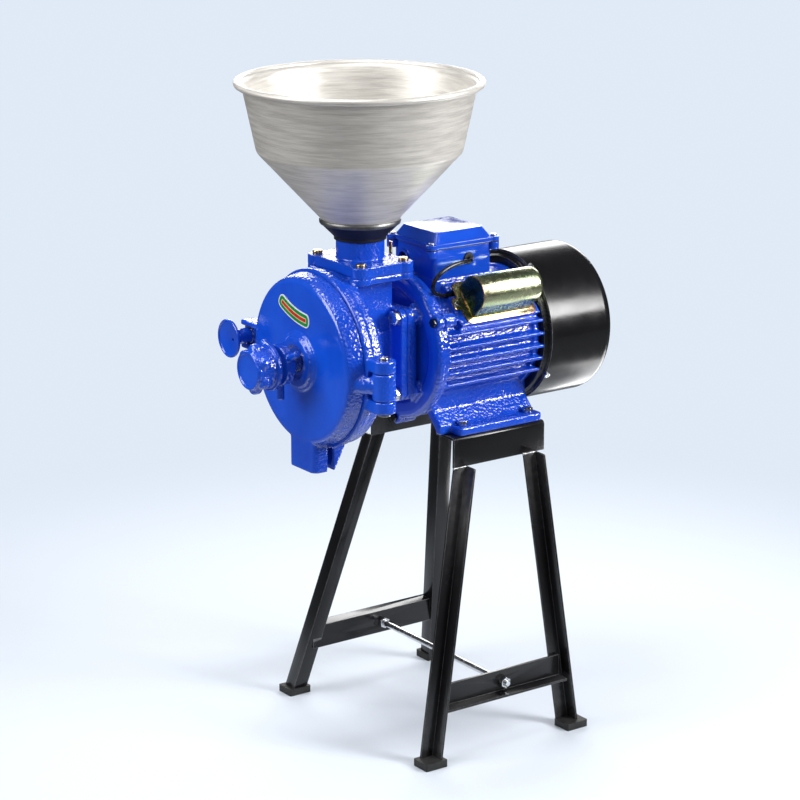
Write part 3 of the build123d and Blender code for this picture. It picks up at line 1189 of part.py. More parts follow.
# ================================================================ adjusting screw
def adjusting_screw():
    """Screw that sets the gap between the discs, with a pocket for the thrust ball."""
    screw = along_y(SCREW_R, FACE_Y - KNOB_FACE + 12, SCREW_END_Y)
    screw = chamfer(screw.edges().filter_by(GeomType.CIRCLE), 1.2)
    grooves = []
    y = FACE_Y - KNOB_BACK + 2
    while y < SCREW_END_Y - 4:
        grooves.append(turned([(SCREW_R - 1.0, y), (SCREW_R + 1, y - 1.0), (SCREW_R + 1, y + 1.0)]))
        y += SCREW_PITCH
    screw -= grooves
    ball_y = NOSE_Y - BALL_R
    return largest(screw - Pos(0, ball_y, AXIS_Z) * Sphere(BALL_R + RUN))


def thrust_ball():
    """Steel ball between the screw and the disc carrier."""
    return Pos(0, NOSE_Y - BALL_R, AXIS_Z) * Sphere(BALL_R)


def adjusting_knob():
    """Cast knob: round face with a raised lip, six lobes and a ring behind them."""
    face_y = FACE_Y - KNOB_FACE
    back_y = FACE_Y - KNOB_BACK
    lobes_y0 = face_y + KNOB_LOBE_FRONT
    knob = along_y(KNOB_CORE_R, face_y + 3, back_y)
    for n in range(KNOB_LOBES):
        x, z = polar(KNOB_LOBE_AT, 360 * n / KNOB_LOBES + 30)
        lobe = along_y(KNOB_LOBE_R, lobes_y0, lobes_y0 + KNOB_LOBE_T, x, z)
        knob += fillet(lobe.edges().filter_by(GeomType.CIRCLE), 4.5)
    knob += along_y(KNOB_RING_R, back_y - KNOB_RING_T, back_y)
    front = along_y(KNOB_FACE_R, face_y, face_y + 6)
    knob += fillet(front.edges().filter_by(GeomType.CIRCLE).sort_by(Axis.Y)[0], 1.2)
    knob -= along_y(KNOB_FACE_R - 3.0, face_y - 1, face_y + KNOB_LIP)
    knob -= along_y(SCREW_R, face_y + 12, back_y + 1)
    return largest(knob)


def lock_ring():
    """Locking ring on the screw, turned by its three pegs."""
    y0 = FACE_Y - LOCK_FRONT
    ring = along_y(LOCK_R, y0, y0 + LOCK_T)
    ring = fillet(ring.edges().filter_by(GeomType.CIRCLE), 1.5)
    middle = y0 + LOCK_T / 2
    for angle in PEG_ANGLES:
        peg = Pos((LOCK_R + PEG_REACH) / 2 - 3, 0, 0) * Rot(0, 90, 0) * Cylinder(PEG_R, PEG_REACH - LOCK_R + 6)
        peg = fillet(peg.edges().filter_by(GeomType.CIRCLE).sort_by(Axis.X)[-1], 1.2)
        ring += Pos(0, middle, AXIS_Z) * Rot(0, -angle, 0) * peg
    return largest(ring - along_y(SCREW_R + RUN, y0 - 1, y0 + LOCK_T + 1))


# ================================================================ hand clamp
def clamp_knob():
    """Trumpet-shaped hand knob of the clamp."""
    y0 = FACE_Y - CLAMP_FACE
    y1 = FACE_Y + CLAMP_EAR_FRONT + 6 - CLAMP_WASHER_T
    t = CLAMP_DISC_T
    outline = [(0, y0 + 2), (CLAMP_R - 3, y0 + 2), (CLAMP_R - 2, y0), (CLAMP_R, y0 + 0.8),
               (CLAMP_R, y0 + t * 0.6), (CLAMP_R - 6, y0 + t), (CLAMP_NECK_R + 4, y0 + t + 3),
               (CLAMP_NECK_R, y0 + t + 8), (CLAMP_NECK_R, y1), (0, y1)]
    knob = Pos(CLAMP_X, 0, CLAMP_CZ) * revolve(make_face(Polyline(*outline, close=True)), Axis.Y)
    knob -= along_y(2.0, y0 - 1, y0 + 6, CLAMP_X + 9, CLAMP_CZ)
    return largest(knob - along_y(CLAMP_STUD_R, y0 + t, y1 + 1, CLAMP_X, CLAMP_CZ))


def clamp_stud():
    """Screwed stud of the hand clamp."""
    stud = along_y(CLAMP_STUD_R, FACE_Y - CLAMP_FACE + CLAMP_DISC_T, SEAM_Y + CLAMP_STUD_IN,
                   CLAMP_X, CLAMP_CZ)
    return chamfer(stud.edges().filter_by(GeomType.CIRCLE).sort_by(Axis.Y)[-1], 1.5)


def clamp_washer():
    """Washer between the hand knob and the door's ear."""
    y1 = FACE_Y + CLAMP_EAR_FRONT + 6
    y0 = y1 - CLAMP_WASHER_T
    return along_y(CLAMP_NECK_R + 1, y0, y1, CLAMP_X, CLAMP_CZ) \
        - along_y(CLAMP_STUD_R + RUN, y0 - 1, y1 + 1, CLAMP_X, CLAMP_CZ)


# ================================================================ grinding set and rotor
def grooved_disc(y0, y1, face):
    """A grinding disc with grooves in one face and four countersunk holes."""
    disc = turned([(DISC_EYE_R, y0), (DISC_R, y0), (DISC_R, y1), (DISC_EYE_R, y1)])
    grooves = []
    for n in range(DISC_GROOVES):
        cut = Pos(DISC_R * 0.7, 0, 4) * Rot(0, 12, 0) * Box(DISC_R * 0.75, 3.0, 2.4)
        grooves.append(Pos(0, face, AXIS_Z) * Rot(0, 360 * n / DISC_GROOVES, 0) * cut)
    disc -= grooves
    for angle in (45, 135, 225, 315):
        x, z = polar(DISC_SCREW_AT, angle)
        disc -= along_y(3 + RUN, y0 - 1, y1 + 1, x, z)
    return disc


def fixed_grinding_disc():
    """Disc screwed to the chamber's back wall."""
    disc = grooved_disc(FIXED_Y0, CHAMBER_Y, FIXED_Y0)
    for angle in (45, 135, 225, 315):
        x, z = polar(DISC_SCREW_AT, angle)
        disc -= along_y(6 + RUN, FIXED_Y0 - 1, FIXED_Y0 + 5, x, z)
    return largest(disc)


def fixed_disc_screws():
    """Four screws of the fixed disc, sunk below its grinding face."""
    screws = []
    for angle in (45, 135, 225, 315):
        x, z = polar(DISC_SCREW_AT, angle)
        screws.append(Pos(x, FIXED_Y0 + 5, z) * Rot(90, 0, 0) * pan_screw(5.6, 3, 3, DISC_T - 5 + 5))
    return group(screws)


def moving_grinding_disc():
    """Disc screwed to the carrier; it turns and slides with it."""
    return largest(grooved_disc(MOVING_Y0, MOVING_Y1, MOVING_Y1))


def moving_disc_screws():
    """Four screws from the carrier into the moving disc."""
    screws = []
    for angle in (45, 135, 225, 315):
        x, z = polar(DISC_SCREW_AT, angle)
        screws.append(Pos(x, CARRIER_Y0, z) * Rot(90, 0, 0) * pan_screw(5.0, 3, 3, CARRIER_T + DISC_T - 3))
    return group(screws)


def nose_bar(clearance, y0, y1):
    """The shaft's nose with its two flats, grown by a clearance."""
    bar = along_y(SHAFT_NOSE_R + clearance, y0, y1)
    flat = SHAFT_FLAT + clearance
    return bar & block(-flat, flat, y0, y1, AXIS_Z - 30, AXIS_Z + 30)


def disc_carrier():
    """Carrier plate and hub that slide on the flats of the shaft's nose."""
    hub_end = MOVING_Y0 + CARRIER_HUB_T
    carrier = along_y(DISC_R - 8, CARRIER_Y0, MOVING_Y0)
    carrier += along_y(CARRIER_HUB_R, MOVING_Y0 - 1, hub_end)
    for angle in (0, 90, 180, 270):
        x, z = polar(DISC_R - 8, angle)
        carrier -= along_y(11, CARRIER_Y0 - 1, MOVING_Y0 + 1, x, z)
    carrier -= nose_bar(RUN, CARRIER_Y0 + 3, hub_end + 1)
    carrier -= along_y(SPRING_R + SPRING_WIRE_R + 1, hub_end - 6, hub_end + 1)
    for angle in (45, 135, 225, 315):
        x, z = polar(DISC_SCREW_AT, angle)
        carrier -= along_y(3 + RUN, CARRIER_Y0 - 1, MOVING_Y0 + 1, x, z)
    return largest(carrier)


def motor_shaft():
    """Stepped shaft: flatted nose, auger and bearing seats, fan end."""
    travel = SCREW_PITCH * SCREW_TURNS
    nose_y0 = CARRIER_Y0 + 3 + 0.5
    shoulder = FIXED_Y0 + travel
    shaft = nose_bar(0.0, nose_y0, shoulder)
    shaft += along_y(SHAFT_R, shoulder, FACE_Y + 350)
    tip = shaft.edges().filter_by(GeomType.CIRCLE).sort_by(Axis.Y)[-1]
    return chamfer(tip, 1.0)


def rotor_core():
    """Squirrel-cage rotor on the shaft."""
    y0, y1 = FACE_Y + STATOR_START, FACE_Y + STATOR_END
    rotor = turned([(SHAFT_R, y0), (STATOR_IN_R - 0.5, y0), (STATOR_IN_R - 0.5, y1), (SHAFT_R, y1)])
    for a, b in ((y0 - 8, y0), (y1, y1 + 8)):
        rotor += turned([(24, a), (STATOR_IN_R - 3, a), (STATOR_IN_R - 3, b), (24, b)])
    return rotor


def cooling_fan():
    """Radial fan on the shaft's rear end."""
    y0 = REAR_Y1 + 8
    hub = turned([(SHAFT_R, y0), (20, y0), (20, y0 + 22), (SHAFT_R, y0 + 22)])
    fan = hub + turned([(19, y0), (FAN_R - 6, y0 + 6), (FAN_R - 6, y0 + 8.5), (19, y0 + 3)])
    for n in range(FAN_BLADES):
        blade = block(18, FAN_R, y0 + 4, y0 + 26, -1.25, 1.25)
        fan += Pos(0, 0, AXIS_Z) * Rot(0, 360 * n / FAN_BLADES, 0) * blade
    return largest(fan)


def feed_auger():
    """Auger in the throat: a core on the shaft and one screw flight."""
    y0 = FIXED_Y0 + SCREW_PITCH * SCREW_TURNS + 3
    y1 = FLANGE_Y0 - 7
    length = y1 - y0
    flight_len = length - AUGER_BLADE - 2
    core = turned([(SHAFT_R, y0), (AUGER_CORE_R, y0), (AUGER_CORE_R, y1), (SHAFT_R, y1)])
    helix = Helix(AUGER_PITCH, flight_len, (AUGER_CORE_R + AUGER_R) / 2)
    width = AUGER_R - AUGER_CORE_R + 2
    section = Plane(origin=helix @ 0, x_dir=(1, 0, 0), z_dir=(0, 1, 0)) * Rectangle(width, AUGER_BLADE)
    flight = sweep(section, path=helix, is_frenet=True)
    flight = Pos(0, y0 + 1 + AUGER_BLADE / 2, AXIS_Z) * Rot(-90, 0, 0) * flight
    flight &= turned([(AUGER_CORE_R - 0.5, y0), (AUGER_R, y0), (AUGER_R, y1), (AUGER_CORE_R - 0.5, y1)])
    return largest(core + flight)


def return_spring():
    """Coil spring that pushes the carrier towards the adjusting screw."""
    y0 = MOVING_Y0 + CARRIER_HUB_T - 6 + SPRING_WIRE_R
    y1 = FIXED_Y0 + SCREW_PITCH * SCREW_TURNS + 3 - SPRING_WIRE_R
    helix = Helix((y1 - y0) / SPRING_TURNS, y1 - y0, SPRING_R)
    wire = swept_wire(helix, SPRING_WIRE_R)
    return Pos(0, y0, AXIS_Z) * Rot(-90, 0, 0) * wire


# ================================================================ writing the nodes
def build_nodes():
    """Every node's name and shape."""
    nodes = {}
    legs = {}
    for side, name in ((1, "right"), (-1, "left")):
        for end in ("front", "back"):
            legs[side, end] = stand_leg(side, end)
            nodes[f"stand_leg_{end}_{name}"] = legs[side, end]
        nodes[f"stand_rail_{name}"] = stand_rail(side)
        nodes[f"stand_brace_{name}"] = stand_brace(side, [legs[side, "front"], legs[side, "back"]])
    nodes["stand_shoes"] = group([stand_shoe(s, e, leg) for (s, e), leg in legs.items()])
    makers = (
        tie_rod, tie_rod_nuts, motor_foot_bolts, motor_frame, front_end_shield, rear_end_shield,
        shaft_bearings, tie_bolts, stator_core, stator_windings, fan_cowl, cowl_screws,
        terminal_box, terminal_gasket, terminal_lid, terminal_board, terminal_screws,
        lead_grommet, capacitor, capacitor_cover, capacitor_screws,
        capacitor_lead, mill_housing, housing_bolts, shaft_seal, fixed_grinding_disc,
        fixed_disc_screws, inlet_casting, inlet_screws, feed_gate, hopper, hopper_collar,
        hinge_pin, door, door_badge, door_seal, adjusting_screw, thrust_ball, adjusting_knob,
        lock_ring, clamp_knob, clamp_stud, clamp_washer, motor_shaft, rotor_core, cooling_fan,
        feed_auger, disc_carrier, moving_grinding_disc, moving_disc_screws, return_spring,
    )
    for maker in makers:
        nodes[maker.__name__] = maker()
    return nodes


os.makedirs("parts", exist_ok=True)
for node_name, shape in build_nodes().items():
    export_step(shape, f"parts/{node_name}.step")
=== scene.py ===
# %% [markdown]
# # An electric grain mill
#
# The mill is a small direct-drive machine: a capacitor motor turns a feed screw and a
# grinding disc on one shaft, grain falls from a spun aluminium hopper, and flour leaves by a
# spout under a hinged door.  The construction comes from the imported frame.  This notebook
# gives every surface its finish, and remakes the pieces whose look depends on soft cast
# edges, rolled sheet or a drawn curve.

# %% The frame and the units
import json
import math
import random

import bmesh
import bpy
from mathutils import Matrix, Vector


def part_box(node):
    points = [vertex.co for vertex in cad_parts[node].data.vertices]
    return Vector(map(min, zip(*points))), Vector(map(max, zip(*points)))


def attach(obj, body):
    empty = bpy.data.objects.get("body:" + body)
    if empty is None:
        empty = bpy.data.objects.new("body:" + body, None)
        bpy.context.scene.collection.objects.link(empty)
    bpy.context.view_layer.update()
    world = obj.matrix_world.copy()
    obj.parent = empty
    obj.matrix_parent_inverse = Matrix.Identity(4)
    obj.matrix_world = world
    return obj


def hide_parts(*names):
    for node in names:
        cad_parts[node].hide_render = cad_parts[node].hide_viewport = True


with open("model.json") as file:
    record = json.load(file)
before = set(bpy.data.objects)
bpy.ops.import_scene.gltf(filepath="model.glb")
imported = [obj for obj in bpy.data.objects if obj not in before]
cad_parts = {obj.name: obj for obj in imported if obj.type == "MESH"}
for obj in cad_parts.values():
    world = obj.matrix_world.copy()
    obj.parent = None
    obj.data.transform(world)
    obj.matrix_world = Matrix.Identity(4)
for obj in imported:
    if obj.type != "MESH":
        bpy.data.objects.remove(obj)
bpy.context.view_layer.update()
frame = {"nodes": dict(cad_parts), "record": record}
MM = 0.001
scene = bpy.context.scene

# %% [markdown]
# ## Places taken from the frame
#
# A few places are used again and again: the hopper's axis, its rim, the collar's edge.  They
# are read from the frame's boxes, so a piece made here sits where the construction puts it.

# %% Places
hopper_low, hopper_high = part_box("hopper")
collar_low, collar_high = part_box("hopper_collar")
HOPPER_Y = (hopper_low.y + hopper_high.y) / 2
HOPPER_TOP = hopper_high.z
HOPPER_R = (hopper_high.x - hopper_low.x) / 2
COLLAR_TOP = collar_high.z
COLLAR_R = (collar_high.x - collar_low.x) / 2
print("hopper axis at y", round(HOPPER_Y, 4), "rim at", round(HOPPER_TOP, 4))

# %% [markdown]
# ## The camera
#
# A long lens from well back keeps the mill's sides nearly parallel.  The camera looks a little
# down on the machine from its right front, so it shows the door, the side of the motor and
# the inside edge of the hopper.

# %% Camera
CAMERA_AZIMUTH = math.radians(54.5)
CAMERA_PITCH = math.radians(15.9)
CAMERA_DISTANCE = 3.4768
CAMERA_LENS = 126.07
CAMERA_SENSOR = 36.0
CAMERA_REACH = 50.0
CAMERA_TARGET = Vector((-0.0102, -0.0423, 0.4166))


def place_camera():
    """A camera on a sphere round its target, aimed at it."""
    back = Vector((
        math.sin(CAMERA_AZIMUTH) * math.cos(CAMERA_PITCH),
        -math.cos(CAMERA_AZIMUTH) * math.cos(CAMERA_PITCH),
        math.sin(CAMERA_PITCH),
    ))
    data = bpy.data.cameras.new("portrait_camera")
    data.sensor_width = CAMERA_SENSOR
    data.lens = CAMERA_LENS
    data.clip_end = CAMERA_REACH
    camera = bpy.data.objects.new("portrait_camera", data)
    camera.location = CAMERA_TARGET + back * CAMERA_DISTANCE
    camera.rotation_euler = (-back).to_track_quat("-Z", "Y").to_euler()
    scene.collection.objects.link(camera)
    scene.camera = camera
    return camera


camera = place_camera()
print("camera at", [round(c, 3) for c in camera.location])

# %% [markdown]
# ## Light
#
# Gloss paint and bare metal show their room more than their own colour.  The room could be
# evenly white, but then black enamel turns grey and the blue turns milky.  So the room is
# pale for the lens only and dim for reflections, and the shine comes from a few softboxes.
# Each stands where one family of surfaces mirrors it: the cowl's flank shows the one at the
# right rear and its underside the low one, the housing's band and the foot show the near
# one, and level tops show the one at the left rear.  The other three only fill.

# %% Room
BACKDROP = (0.745, 0.825, 0.930, 1.0)
ROOM_SHADES = [
    # (colour, strength) for the light it gives, for reflections and for the lens
    ((1.0, 1.0, 1.0, 1.0), 0.26),
    ((0.85, 0.92, 1.0, 1.0), 0.06),
    (BACKDROP, 1.0),
]


def build_room():
    """Pale for camera rays, dimmer for the light and the reflections that it gives."""
    world = bpy.data.worlds.new("room")
    world.use_nodes = True
    tree = world.node_tree
    tree.nodes.clear()
    path = tree.nodes.new("ShaderNodeLightPath")
    shades = []
    for colour, strength in ROOM_SHADES:
        shade = tree.nodes.new("ShaderNodeBackground")
        shade.inputs["Color"].default_value = colour
        shade.inputs["Strength"].default_value = strength
        shades.append(shade)
    first = tree.nodes.new("ShaderNodeMixShader")
    second = tree.nodes.new("ShaderNodeMixShader")
    out = tree.nodes.new("ShaderNodeOutputWorld")
    tree.links.new(path.outputs["Is Glossy Ray"], first.inputs["Fac"])
    tree.links.new(shades[0].outputs[0], first.inputs[1])
    tree.links.new(shades[1].outputs[0], first.inputs[2])
    tree.links.new(path.outputs["Is Camera Ray"], second.inputs["Fac"])
    tree.links.new(first.outputs[0], second.inputs[1])
    tree.links.new(shades[2].outputs[0], second.inputs[2])
    tree.links.new(second.outputs[0], out.inputs["Surface"])
    scene.world = world


build_room()

# %% Softboxes
SOFTBOXES = {
    # name: (place, aim, width, height, power in watts)
    "right_rear": ((1.60, 1.12, 1.20), (0.0, 0.0, 0.55), 0.60, 0.62, 36),
    "right_near": ((0.81, 0.52, 1.22), (0.05, -0.12, 0.52), 0.40, 0.50, 6),
    "low_rear": ((0.0, 0.68, 0.06), (0.0, 0.64, 1.0), 0.50, 0.40, 4),
    "left_rear": ((-1.60, 1.25, 1.15), (0.0, 0.0, 0.60), 1.9, 0.80, 30),
    "overhead": ((-0.1, -0.6, 2.3), (0.0, 0.0, 0.45), 1.2, 1.0, 26),
    "front_fill": ((-0.5, -2.1, 1.5), (0.0, -0.2, 0.5), 1.3, 1.3, 30),
    "camera_side": ((2.1, -0.9, 1.8), (0.0, -0.05, 0.45), 1.0, 1.0, 4),
}


def add_softbox(name, place, aim, width, height, power):
    """A rectangular lamp turned towards its aim."""
    data = bpy.data.lights.new(name, "AREA")
    data.shape = "RECTANGLE"
    data.size = width
    data.size_y = height
    data.energy = power
    lamp = bpy.data.objects.new(name, data)
    lamp.location = place
    lamp.visible_camera = False
    way = Vector(aim) - Vector(place)
    lamp.rotation_euler = way.to_track_quat("-Z", "Y").to_euler()
    scene.collection.objects.link(lamp)


for name, values in SOFTBOXES.items():
    add_softbox(name, *values)
scene.view_settings.view_transform = "Standard"
print("softboxes", list(SOFTBOXES))

# %% [markdown]
# ## Shader groups
#
# Three effects are shared by several finishes.  Hammer tone is the dimpled skin of cast
# iron under thick enamel.  Turning rings are the fine grooves that a spinning tool or a
# lathe leaves.  An edge mask marks a broken strip along sharp edges: on plated zinc it is
# the thicker film's tint, and on black enamel a painted highlight.  Each is one node group
# with named inputs, so a material states only its own numbers.


# %% Node helpers
def new_group(name, inputs, outputs):
    """An empty node group with its sockets."""
    tree = bpy.data.node_groups.new(name, "ShaderNodeTree")
    for label, kind, value in inputs:
        socket = tree.interface.new_socket(name=label, in_out="INPUT", socket_type=kind)
        socket.default_value = value
    for label, kind in outputs:
        tree.interface.new_socket(name=label, in_out="OUTPUT", socket_type=kind)
    entry = tree.nodes.new("NodeGroupInput")
    leave = tree.nodes.new("NodeGroupOutput")
    return tree, entry, leave


def add_node(tree, kind, **values):
    """A node with some of its properties and input sockets set."""
    node = tree.nodes.new(kind)
    for key, value in values.items():
        if hasattr(node, key):
            setattr(node, key, value)
        else:
            node.inputs[key.replace("_", " ")].default_value = value
    return node


def remap(tree, value, start, stop, low=0.0, high=1.0, **kind):
    """A value carried from one range to another and held inside it."""
    node = add_node(tree, "ShaderNodeMapRange", **kind)
    for key, number in (("From Min", start), ("From Max", stop), ("To Min", low), ("To Max", high)):
        node.inputs[key].default_value = number
    tree.links.new(value, node.inputs["Value"])
    return node.outputs["Result"]


def blend(tree, factor, first, second, **kind):
    """A mix of two colours, each a fixed colour or an output."""
    node = add_node(tree, "ShaderNodeMix", data_type="RGBA", **kind)
    tree.links.new(factor, node.inputs["Factor"])
    for key, colour in (("A", first), ("B", second)):
        if isinstance(colour, tuple):
            node.inputs[key].default_value = colour
        else:
            tree.links.new(colour, node.inputs[key])
    return node.outputs["Result"]


def times(tree, first, second):
    """The product of two values."""
    node = add_node(tree, "ShaderNodeMath", operation="MULTIPLY")
    tree.links.new(first, node.inputs[0])
    tree.links.new(second, node.inputs[1])
    return node.outputs[0]


def ramp(tree, fac, stops):
    """A colour ramp of (position, colour) stops."""
    node = tree.nodes.new("ShaderNodeValToRGB")
    elements = node.color_ramp.elements
    while len(elements) < len(stops):
        elements.new(0.5)
    for element, (position, colour) in zip(elements, stops):
        element.position = position
        element.color = colour if len(colour) == 4 else (*colour, 1.0)
    tree.links.new(fac, node.inputs["Fac"])
    return node.outputs["Color"]


def greys(*stops):
    """Ramp stops that are plain values."""
    return [(position, (value,) * 3) for position, value in stops]


# %% Hammer tone
DIMPLE_HEIGHT = 1.0 * MM
WANDER_SCALE = 110.0
WANDER_SHARE = 0.6


def build_hammer_tone():
    """Shallow round dimples over a slow wander, and a mask of where they are deep."""
    tree, entry, leave = new_group(
        "hammer_tone",
        [("Scale", "NodeSocketFloat", 250.0), ("Depth", "NodeSocketFloat", 0.3)],
        [("Normal", "NodeSocketVector"), ("Mask", "NodeSocketFloat")],
    )
    place = tree.nodes.new("ShaderNodeTexCoord")
    cells = add_node(tree, "ShaderNodeTexVoronoi", feature="SMOOTH_F1", Smoothness=0.5)
    wander = add_node(tree, "ShaderNodeTexNoise", Scale=WANDER_SCALE, Detail=2.0)
    mix = add_node(tree, "ShaderNodeMath", operation="MULTIPLY_ADD")
    mix.inputs[1].default_value = WANDER_SHARE
    bump = add_node(tree, "ShaderNodeBump", Distance=DIMPLE_HEIGHT)
    tree.links.new(place.outputs["Object"], cells.inputs["Vector"])
    tree.links.new(place.outputs["Object"], wander.inputs["Vector"])
    tree.links.new(entry.outputs["Scale"], cells.inputs["Scale"])
    tree.links.new(wander.outputs["Fac"], mix.inputs[0])
    tree.links.new(cells.outputs["Distance"], mix.inputs[2])
    tree.links.new(mix.outputs[0], bump.inputs["Height"])
    tree.links.new(entry.outputs["Depth"], bump.inputs["Strength"])
    tree.links.new(bump.outputs["Normal"], leave.inputs["Normal"])
    tree.links.new(cells.outputs["Distance"], leave.inputs["Mask"])
    return tree


hammer_tone = build_hammer_tone()


# %% Turning rings
GROOVE_HEIGHT = 0.3 * MM


def build_turning_rings():
    """Fine grooves at constant height, uneven in depth, with a normal and a mask."""
    tree, entry, leave = new_group(
        "turning_rings",
        [("Rings", "NodeSocketFloat", 900.0), ("Depth", "NodeSocketFloat", 0.2),
         ("Axis", "NodeSocketVector", (0.0, 0.0, 1.0))],
        [("Normal", "NodeSocketVector"), ("Mask", "NodeSocketFloat")],
    )
    place = tree.nodes.new("ShaderNodeTexCoord")
    along = add_node(tree, "ShaderNodeVectorMath", operation="MULTIPLY")
    fine = add_node(tree, "ShaderNodeTexNoise", Scale=1.0, Detail=4.0, Roughness=0.65)
    stretch = add_node(tree, "ShaderNodeVectorMath", operation="SCALE")
    bump = add_node(tree, "ShaderNodeBump", Distance=GROOVE_HEIGHT)
    tree.links.new(place.outputs["Object"], along.inputs[0])
    tree.links.new(entry.outputs["Axis"], along.inputs[1])
    tree.links.new(along.outputs[0], stretch.inputs[0])
    tree.links.new(entry.outputs["Rings"], stretch.inputs["Scale"])
    tree.links.new(stretch.outputs[0], fine.inputs["Vector"])
    tree.links.new(fine.outputs["Fac"], bump.inputs["Height"])
    tree.links.new(entry.outputs["Depth"], bump.inputs["Strength"])
    tree.links.new(bump.outputs["Normal"], leave.inputs["Normal"])
    tree.links.new(fine.outputs["Fac"], leave.inputs["Mask"])
    return tree


turning_rings = build_turning_rings()


# %% Edge tint and painted edge highlight
# how far a rounded normal agrees with the face's own, on a flat and at an edge
FLAT_MATCH = 0.985
EDGE_MATCH = 0.88


def build_edge_tint_and_highlight():
    """A mask that is 1 within a short reach of a sharp edge, broken up by noise."""
    tree, entry, leave = new_group(
        "edge_tint_and_highlight",
        [("Amount", "NodeSocketFloat", 0.5), ("Scale", "NodeSocketFloat", 60.0),
         ("Reach", "NodeSocketFloat", 1.2 * MM)],
        [("Mask", "NodeSocketFloat")],
    )
    shape = tree.nodes.new("ShaderNodeNewGeometry")
    rounded = add_node(tree, "ShaderNodeBevel", samples=6)
    turn = add_node(tree, "ShaderNodeVectorMath", operation="DOT_PRODUCT")
    place = tree.nodes.new("ShaderNodeTexCoord")
    noise = add_node(tree, "ShaderNodeTexNoise", Detail=4.0)
    scaled = add_node(tree, "ShaderNodeMath", operation="MULTIPLY", use_clamp=True)
    tree.links.new(entry.outputs["Reach"], rounded.inputs["Radius"])
    tree.links.new(rounded.outputs["Normal"], turn.inputs[0])
    tree.links.new(shape.outputs["True Normal"], turn.inputs[1])
    tree.links.new(place.outputs["Object"], noise.inputs["Vector"])
    tree.links.new(entry.outputs["Scale"], noise.inputs["Scale"])
    edge = remap(tree, turn.outputs["Value"], FLAT_MATCH, EDGE_MATCH)
    broken = times(tree, edge, noise.outputs["Fac"])
    tree.links.new(broken, scaled.inputs[0])
    tree.links.new(entry.outputs["Amount"], scaled.inputs[1])
    tree.links.new(scaled.outputs[0], leave.inputs["Mask"])
    return tree


edge_tint_and_highlight = build_edge_tint_and_highlight()
print("groups", [g.name for g in bpy.data.node_groups])

# %% [markdown]
# ## Finishes
#
# Each finish is a Principled shader.  Its steady numbers sit on the shader's own sockets, and
# only what changes over the surface is wired in.  The names are those of the record's
# material slots, so every piece can be repainted by its slot.


# %% Material helpers
def new_material(name, **sockets):
    """A Principled material with its steady numbers set, its tree and its shader."""
    material = bpy.data.materials.new(name)
    material.use_nodes = True
    tree = material.node_tree
    shader = tree.nodes["Principled BSDF"]
    for key, value in sockets.items():
        shader.inputs[key.replace("_", " ")].default_value = value
    return material, tree, shader


def use_group(tree, group, **values):
    """A node group placed in a material."""
    node = tree.nodes.new("ShaderNodeGroup")
    node.node_tree = group
    for key, value in values.items():
        node.inputs[key].default_value = value
    return node


def noise_mask(tree, scale, stretch=(1.0, 1.0, 1.0)):
    """Noise on the object's own coordinates."""
    place = tree.nodes.new("ShaderNodeTexCoord")
    mapping = add_node(tree, "ShaderNodeMapping")
    mapping.inputs["Scale"].default_value = stretch
    noise = add_node(tree, "ShaderNodeTexNoise", Scale=scale, Detail=3.0)
    tree.links.new(place.outputs["Object"], mapping.inputs["Vector"])
    tree.links.new(mapping.outputs["Vector"], noise.inputs["Vector"])
    return noise.outputs["Fac"]


def facing(tree):
    """How far the surface looks along the shaft: its own normal's y."""
    place = tree.nodes.new("ShaderNodeTexCoord")
    split = tree.nodes.new("ShaderNodeSeparateXYZ")
    tree.links.new(place.outputs["Normal"], split.inputs[0])
    return split.outputs["Y"]


def wire(tree, shader, **outputs):
    """Links outputs to the shader's sockets of the same names."""
    for key, output in outputs.items():
        tree.links.new(output, shader.inputs[key.replace("_", " ")])


# %% [markdown]
# ### Blue enamel
#
# The castings are sprayed with thick cobalt enamel.  On turned faces, which look along the
# shaft, it lies smooth.  On the sand-cast sides it follows the skin's dimples, and these
# break a highlight into sparks.  The dimples could be modelled, but at two or three
# millimetres across a bump does it as well.  The surface's own normal tells the two apart,
# and it also darkens the sides' colour: painted shade, standing in for less light there.


# %% Blue enamel
DIMPLES = 290.0
# painted shade: the sides' colour is multiplied by this, so they look less lit than the faces
SIDE_PAINTED_SHADE = (0.85, 0.78, 0.84, 1.0)
# how far a face looks along the shaft where the painted shade sets in, and where the skin gets
# smooth
PAINTED_SHADE_RANGE = (0.95, 0.45)
SMOOTH_RANGE = (0.60, 0.95)


def blue_enamel(name, sides, faces):
    """Thick cobalt enamel with painted shade on the sides: dimple depth on the sides, and on faces
    that look along the shaft.
    """
    material, tree, shader = new_material(name, IOR=1.8)
    along = add_node(tree, "ShaderNodeMath", operation="ABSOLUTE")
    tree.links.new(facing(tree), along.inputs[0])
    colour = ramp(tree, noise_mask(tree, 14.0), [
        (0.30, (0.004, 0.062, 0.56)), (0.70, (0.009, 0.100, 0.74))])
    shade = remap(tree, along.outputs[0], *PAINTED_SHADE_RANGE)
    colour_with_painted_shade = blend(tree, shade, colour, SIDE_PAINTED_SHADE, blend_type="MULTIPLY")
    tone = use_group(tree, hammer_tone, Scale=DIMPLES)
    depth = remap(tree, along.outputs[0], *SMOOTH_RANGE, sides, faces)
    tree.links.new(depth, tone.inputs["Depth"])
    rough = ramp(tree, noise_mask(tree, 60.0), greys((0.35, 0.10), (0.75, 0.20)))
    wire(tree, shader, Base_Color=colour_with_painted_shade, Roughness=rough, Normal=tone.outputs["Normal"])
    return material


# %% Black finishes
STOVE_BLACK = (0.006, 0.006, 0.007, 1.0)
# painted highlight: the black is lifted to this grey along sharp edges, standing in for the lines
# of light they catch
EDGE_PAINTED_HIGHLIGHT = (0.35, 0.35, 0.36, 1.0)


